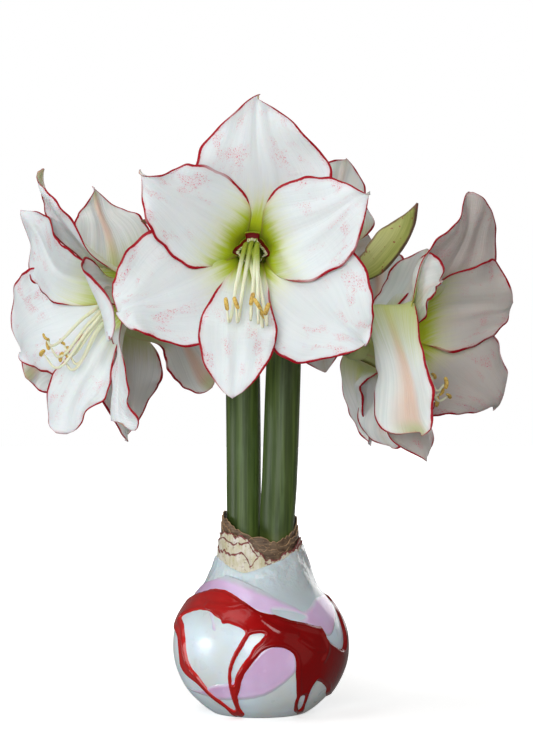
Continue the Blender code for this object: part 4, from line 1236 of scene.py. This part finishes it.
RED_HOLES = (
    (
        (181.6, 617), (189, 612.5), (199.5, 610), (208.5, 611.5), (214, 615.5), (220, 619.5), (222, 623.5),
        (227, 623.5), (231, 624.5), (241, 628.5), (245, 633.5), (240, 642.5), (232.5, 656), (228.3, 669),
        (228.3, 685), (231.5, 698), (235.5, 709), (231, 708.5), (221, 700.5), (208.5, 689), (198.5, 676),
        (190.5, 666), (186.5, 653), (185, 637.5), (183.5, 624),
    ),
    (
        (251, 635), (258, 633.5), (264.5, 634.5), (261, 640), (254, 647), (248, 657), (241, 666),
        (236, 675.5), (233.5, 684), (231.7, 680), (231.8, 671), (236, 659), (242.5, 648), (247, 640),
    ),
    ((300, 697.5), (304.5, 695.5), (303.5, 701.5), (301, 707.5), (298.3, 709.5), (297.8, 704)),
)
PINK_UPPER = (
    (
        (193, 594), (202, 585), (212.5, 578), (223, 577.5), (239, 582.5), (265, 593.5), (291, 605),
        (304.5, 610.5), (315, 598), (323, 594), (329, 600.5), (335, 613), (335, 623), (329, 636), (318, 630),
        (304, 624), (296, 621), (303, 619), (304, 615.5), (290, 611.5), (273, 610), (273, 616), (250, 610),
        (226, 600), (205, 600),
    ),
    ((209, 612), (212, 613), (214.2, 622), (216, 629), (214.3, 631), (212.2, 629), (211.3, 622)),
)
PINK_LOWER = (
    (
        (187.5, 688), (199.5, 689.5), (212.5, 685.5), (228.5, 682.5), (238, 676), (247, 668), (257, 655),
        (268, 646), (281, 644), (294, 650), (297, 663.5), (294, 674), (279, 687.5), (265, 695.5),
        (252, 698.7), (239, 700), (220.5, 699.8), (210, 697), (197, 693),
    ),
)
RED_RIDGES = (
    ((203, 592), (208, 604), (211, 612)), ((209, 604), (228, 606), (250, 603)),
    ((296, 624), (310, 628), (322, 633)), ((323, 633), (326, 648), (322, 660)),
    ((300, 640), (312, 648), (322, 650)), ((262, 618), (280, 630), (296, 634)),
)


def wax_profile(height):
    """The coat's outside radius without its lumps, evened out so that the wall has no crease."""
    reach = np.clip(np.minimum(height, WAX_TOP - height), 0.0, EVENED)
    steps = np.linspace(-1.0, 1.0, 9)
    return sum(through(WAX_HEIGHTS, WAX_RADII, height + step * reach) for step in steps) / len(steps)


def wax_lumps(height, around):
    """The low lumps of dipped wax. Around 0 is the front."""
    lumps = waves_round(math.pi / 2 - around, 3.2, height * 0.055, seed=3)
    return COAT_LUMPS * lumps * eased(height, 0.0, 12.0)


def make_wax_coat():
    """The hollow white coat, thickly dipped and lumpy at its neck, with an uneven lip."""
    rings_under, rings_up, rings_on_floor = WAX_RINGS
    under = rows(np.linspace(0.0, 1.0, rings_under) ** 0.8 * WAX_RADII[0], 0.0)
    heights = np.linspace(0.0, WAX_TOP, rings_up)[1:]
    wall = rows(wax_profile(heights), heights)
    inside = wall[wall[:, 1] > WAX_INSIDE_FROM][::-1] - (WAX_WALL, 0.0)
    floor = rows(np.linspace(WAX_FLOOR[0], 0.0, rings_on_floor), WAX_FLOOR[1])
    profile = np.vstack([under, wall, WAX_LIP, inside, floor])

    def swell(radius, height, around, share):
        top = through(WAX_RIM_KNOTS, WAX_RIM_TOP, np.degrees(around)) + 0.5 * waves_round(around, 9.0, seed=9)
        lifted = height + eased(height, 70.0, WAX_TOP) * (top - WAX_LIP_TOP)
        outside = eased(share, 0.08, 0.10) * eased(share, 0.62, 0.58)
        neck = NECK_LUMPS * waves_round(around, 7.0, height * 0.24, seed=21)
        crumbs = NECK_CRUMBS * waves_round(around, 24.0, height, seed=22)
        neck = neck + crumbs * eased(height, 74.0, 80.0)
        lumps = wax_lumps(height, around + math.pi / 2)
        return radius + lumps * outside + neck * eased(height, 62.0, 74.0), lifted

    coat = turned("wax_coat_of_bulb", profile, WAX_SIDES, swell)
    wear(coat, WHITE_WAX)
    present(coat, "wax_white", "wax_coat")


def unrolled(outline):
    """Pixels to (round the coat, up) where their sight lines meet the coat.

    A line that passes the coat counts as lying on its far side, by as much as it passes."""
    right, down = np.array(outline, float).T
    reach = (SIGHT_DEPTHS - CAMERA_PLACE[1])[None, :, None]
    spots = CAMERA_PLACE + sight_lines(right, down)[:, None, :] * reach
    coat = wax_profile(np.clip(spots[..., 2], 0.0, WAX_TOP))
    clear = np.hypot(spots[..., 0], spots[..., 1]) - coat
    inside = clear <= 0.0
    first = np.where(inside.any(axis=1), inside.argmax(axis=1), clear.argmin(axis=1))
    each = np.arange(len(right))
    spot, past, radius = spots[each, first], np.maximum(clear[each, first], 0.0), coat[each, first]
    angle = np.arctan2(spot[:, 0], -spot[:, 1])
    angle = angle + np.sign(angle) * 2.0 * past / radius
    return rows(angle * WAX_WIDEST, spot[:, 2])


def distance_to_line(points, line):
    """How far each point is from a line of straight stretches."""
    least = np.full(len(points), np.inf)
    for start, end in zip(line[:-1], line[1:]):
        way = end - start
        share = np.clip(((points - start) @ way) / (way @ way), 0.0, 1.0)
        least = np.minimum(least, np.linalg.norm(points - start - share[:, None] * way, axis=1))
    return least


def depth_inside(points, outline):
    """The distance to a closed outline, above 0 inside it and below 0 outside."""
    ring = np.vstack([outline, outline[:1]])
    inside = np.zeros(len(points), bool)
    x, y = points.T
    for (ax, ay), (bx, by) in zip(ring[:-1], ring[1:]):
        if ay != by:
            crosses = (ay > y) != (by > y)
            inside ^= crosses & (x < ax + (y - ay) * (bx - ax) / (by - ay))
    return np.where(inside, 1.0, -1.0) * distance_to_line(points, ring)


def make_pour(name, outlines, holes, thick, bank, material, slot, node, ridges=()):
    """Wax poured over the coat: a raised sheet whose edge dips into the coat all round."""
    edges = [rounded_outline(unrolled(outline)) for outline in outlines]
    corners = np.vstack(edges)
    low, high = corners.min(axis=0) - POUR_MARGIN, corners.max(axis=0) + POUR_MARGIN
    low[1] = max(low[1], POUR_LOWEST)
    cells = np.ceil((high - low) / POUR_CELL).astype(int)
    sheet, along, across = start_sheet(name, int(cells[0]), int(cells[1]))
    flat = low + rows(along, (across + 1) / 2) * (high - low)
    depth = np.max([depth_inside(flat, edge) for edge in edges], axis=0)
    for hole in holes:
        depth = np.minimum(depth, -depth_inside(flat, rounded_outline(unrolled(hole))))
    depth = depth + POUR_WAVER * waves(*flat.T * 0.9, seed=len(name))
    rise = thick * (1.0 - np.clip(1.0 - depth / bank, 0.0, None) ** 2)
    rise = np.where(depth < 0, 2.0 * thick / bank * depth, rise)
    relief = POUR_BEAD * np.exp(-(((depth - bank) / (0.7 * bank)) ** 2))
    relief = relief + POUR_SWELLS * waves(*flat.T * 0.22, seed=len(name) + 4)
    for ridge in ridges:
        away = distance_to_line(flat, smooth_path(unrolled(ridge), 30))
        relief = relief + POUR_RIDGES * np.exp(-((away / RIDGE_WIDTH) ** 2))
    rise = rise + thick * eased(depth, 0.0, bank) * relief
    angle, height = flat[:, 0] / WAX_WIDEST, flat[:, 1]
    radius = wax_profile(height) + wax_lumps(height, angle) + np.maximum(rise, -SUNK)
    set_points(sheet, round_axis(radius, angle - math.pi / 2, height))
    store(sheet, "rim", depth)
    store(sheet, "thick", np.maximum(rise, 0.0))
    work = bmesh.new()
    work.from_mesh(sheet.data)
    far = [face for face in work.faces if max(depth[v.index] for v in face.verts) < -1.0]
    bmesh.ops.delete(work, geom=far, context="FACES")
    work.to_mesh(sheet.data)
    work.free()
    thicken(sheet, POUR_SKIN, material)
    present(sheet, slot, node)


# Bulb's neck and its papery tunic

BULB_SIDES = 96
BULB_PROFILE = (
    (0.0, 3.4), (20.0, 3.4), (29.0, 3.6), (34.0, 9.0), (40.0, 18.0), (44.0, 28.0), (45.0, 38.0), (43.0, 48.0),
    (38.5, 57.0), (32.0, 65.0), (26.0, 72.0), (22.0, 78.0), (20.8, 82.0), (20.0, 89.0), (19.6, 93.5),
    (18.6, 95.2), (10.0, 95.5), (0.0, 95.6),
)
SCALE_FOOT = 74.0
SCALE_RAG, SCALE_WALL, SCALE_WRINKLE, SCALE_SEED = 1.4, 0.5, 0.35, 40
SCALE_KNOTS = (-180, -150, -130, -117, -107, -103, -95, -87, -81, -70, -62, -50, 0, 90, 180)
NECK_SCALES = (                  # radius, and the height of its rim at those knots
    (24.1, (93.0, 92.5, 90.0, 92.0, 88.0, 84.5, 88.5, 90.5, 87.0, 87.5, 89.0, 91.5, 95.0, 93.0, 93.0)),
    (23.6, (97.0, 99.0, 95.5, 94.5, 97.0, 95.0, 91.0, 88.0, 86.0, 86.0, 87.0, 90.0, 96.0, 96.0, 97.0)),
    (22.9, (101.0, 102.5, 101.5, 100.0, 98.0, 96.5, 93.5, 90.0, 87.5, 86.5, 87.5, 90.5, 97.0, 98.0, 101.0)),
)
TUNIC_FOOT = 84.0
TUNIC_WALL, TUNIC_WRINKLE, TUNIC_SEED = 0.45, 0.5, 61
TUNIC_KNOTS = (-180, -152, -112, -64, -16, 20, 70, 120, 180)
TUNIC_RIM = (113.0, 108.0, 101.0, 98.0, 104.5, 110.0, 104.0, 108.0, 113.0)
TUNIC_LAYERS = ((21.0, 0.0, 1.2), (21.5, -3.2, 1.5), (22.0, -6.0, 1.6))   # radius, rise of its rim, rag
RING_CELLS = (240, 16)           # round and up


def make_ring_sheet(name, foot, knots, rim, radius, rag, wall, wrinkle, seed, material):
    """A ragged skin round the neck, from the height of its foot up to its torn rim."""
    sheet, along, across = start_sheet(name, *RING_CELLS)
    around = along * 2 * math.pi
    torn = waves_round(around, 8.0, seed=seed) + 0.7 * waves_round(around, 30.0, seed=seed + 1)
    turn = np.degrees(np.arctan2(np.sin(around), np.cos(around)))
    top = through(knots, rim, turn) + rag * torn
    height = foot + (across + 1) / 2 * (top - foot)
    folds = waves_round(around, 7.0, height * 0.12, seed=seed + 2)
    creases = waves_round(around, 22.0, height * 0.25, seed=seed + 3)
    set_points(sheet, round_axis(radius + wrinkle * (folds + 0.4 * creases), around, height))
    store(sheet, "rim", top - height)
    work = bmesh.new()
    work.from_mesh(sheet.data)
    bmesh.ops.remove_doubles(work, verts=work.verts, dist=SAME_SPOT * MM)
    bmesh.ops.recalc_face_normals(work, faces=work.faces)
    work.to_mesh(sheet.data)
    work.free()
    thicken(sheet, wall, material)
    return sheet


def make_bulb():
    """The bulb inside the coat, and the torn scales round its neck."""
    body = turned("bulb_body", BULB_PROFILE, BULB_SIDES)
    store(body, "rim", NO_RIM)
    wear(body, NECK_SCALE)
    scales = [
        make_ring_sheet(f"neck_scale_{number}", SCALE_FOOT, SCALE_KNOTS, rim, radius, SCALE_RAG,
                        SCALE_WALL, SCALE_WRINKLE, SCALE_SEED + 10 * number, NECK_SCALE)
        for number, (radius, rim) in enumerate(NECK_SCALES)
    ]
    present(join("bulb_in_its_coat", [body] + scales), "bulb", "bulb")


def make_tunic():
    """The brown paper round the neck, in three layers."""
    layers = [
        make_ring_sheet(f"tunic_layer_{number}", TUNIC_FOOT, TUNIC_KNOTS, np.add(TUNIC_RIM, rise), radius,
                        rag, TUNIC_WALL, TUNIC_WRINKLE, TUNIC_SEED + 11 * number, TUNIC)
        for number, (radius, rise, rag) in enumerate(TUNIC_LAYERS)
    ]
    present(join("tunic_round_neck", layers), "tunic", "papery_tunic")


# Stage

FLOOR_REACH = 3000.0
AIR = (1.0, 0.97, 0.94, 1.0)
AIR_STRENGTH = 0.17
LIGHT_AIM = (0.0, 0.0, 0.17)
LIGHTS = {                       # place, width and power, in metres and watts, and tint
    "front light": ((-0.32, -2.11, 0.45), 1.3, 34.0, (0.98, 1.0, 1.0)),
    "left light": ((-1.92, -0.45, 0.08), 0.7, 18.0, (0.97, 1.0, 1.0)),
    "top light": ((-0.9, -0.6, 2.0), 1.2, 9.0, (0.98, 1.0, 1.0)),
    "right light": ((1.4, -1.3, 0.1), 1.6, 2.4, (1.0, 0.88, 0.78)),
    "back light": ((0.9, 1.95, 0.8), 1.8, 18.0, (1.0, 1.0, 1.0)),
}


def make_floor():
    """A wide floor. Only the camera sees it, so it throws no light on the part from below."""
    floor, along, across = start_sheet("pale_floor", 40, 40)
    set_points(floor, rows(along * 2.0 - 1.0, across, 0.0) * FLOOR_REACH)
    floor.visible_diffuse = False
    floor.visible_glossy = False
    wear(floor, FLOOR)


def make_camera():
    lens = bpy.data.cameras.new("camera")
    lens.sensor_width = SENSOR
    lens.sensor_fit = "AUTO"
    lens.lens = SENSOR * CAMERA_DISTANCE / (MM_PER_PIXEL * PHOTO_PIXELS[1])
    lens.clip_start = 0.05
    camera = bpy.data.objects.new("camera", lens)
    camera.location = CAMERA_PLACE * MM
    camera.rotation_euler = (math.pi / 2 - CAMERA_PITCH, 0.0, 0.0)
    bpy.context.scene.collection.objects.link(camera)
    bpy.context.scene.camera = camera


def light_stage():
    """Soft lamps, a dim light from all round, and white behind the part."""
    for name, (place, width, power, tint) in LIGHTS.items():
        lamp = bpy.data.lights.new(name, "AREA")
        lamp.shape = "DISK"
        lamp.size = width
        lamp.energy = power
        lamp.color = tint
        holder = bpy.data.objects.new(name, lamp)
        holder.location = place
        holder.rotation_euler = (Vector(LIGHT_AIM) - Vector(place)).to_track_quat("-Z", "Y").to_euler()
        bpy.context.scene.collection.objects.link(holder)
    world = bpy.data.worlds.new("studio")
    bpy.context.scene.world = world
    world.use_nodes = True
    tree = world.node_tree
    air = tree.nodes["Background"]
    air.inputs["Color"].default_value = AIR
    air.inputs["Strength"].default_value = AIR_STRENGTH
    white = tree.nodes.new("ShaderNodeBackground")
    white.inputs["Color"].default_value = (1.0, 1.0, 1.0, 1.0)
    seen = tree.nodes.new("ShaderNodeLightPath")
    either = tree.nodes.new("ShaderNodeMixShader")
    tree.links.new(seen.outputs["Is Camera Ray"], either.inputs[0])
    tree.links.new(air.outputs["Background"], either.inputs[1])
    tree.links.new(white.outputs["Background"], either.inputs[2])
    tree.links.new(either.outputs["Shader"], tree.nodes["World Output"].inputs["Surface"])
    bpy.context.scene.view_settings.view_transform = "Standard"


PETAL_FACE = paint_petal_face()
PETAL_BACK = paint_petal_back()
WHITE_WAX = paint_white_wax()
RED_WAX = paint_red_wax()
PINK_WAX = paint_pink_wax()
SCAPE = paint_scape()
BRACT = paint_bract()
NECK_SCALE = paint_neck_skin(
    "neck_scale", (222, 216, 206), (196, 188, 148), edge=(118, 20, 30), edge_width=1.3, grain=(1.3, 1.3, 9.0),
)
TUNIC = paint_neck_skin(
    "tunic_paper", (78, 58, 42), (130, 108, 84), edge=(176, 140, 104), edge_width=0.4, grain=(9.0, 9.0, 0.8),
)
FILAMENT = paint_filament()
ANTHER = paint_anther()
FLOOR = paint_floor()

make_camera()
light_stage()
make_floor()
make_wax_coat()
make_pour(
    "red_pour", (RED_OUTLINE,), RED_HOLES, RED_THICK, RED_BANK, RED_WAX, "wax_red", "wax_red", RED_RIDGES,
)
for side, outlines in (("upper", PINK_UPPER), ("lower", PINK_LOWER)):
    make_pour(
        "pink_pour_" + side, outlines, (), PINK_THICK, PINK_BANK, PINK_WAX, "wax_pink", "wax_pink_" + side,
    )
make_bulb()
make_tunic()
for side, route in SCAPES.items():
    make_scape(side, route)
for each in BRACTS:
    make_bract(each)
for each in BLOOMS:
    make_bloom(each)
    make_stamens(each)
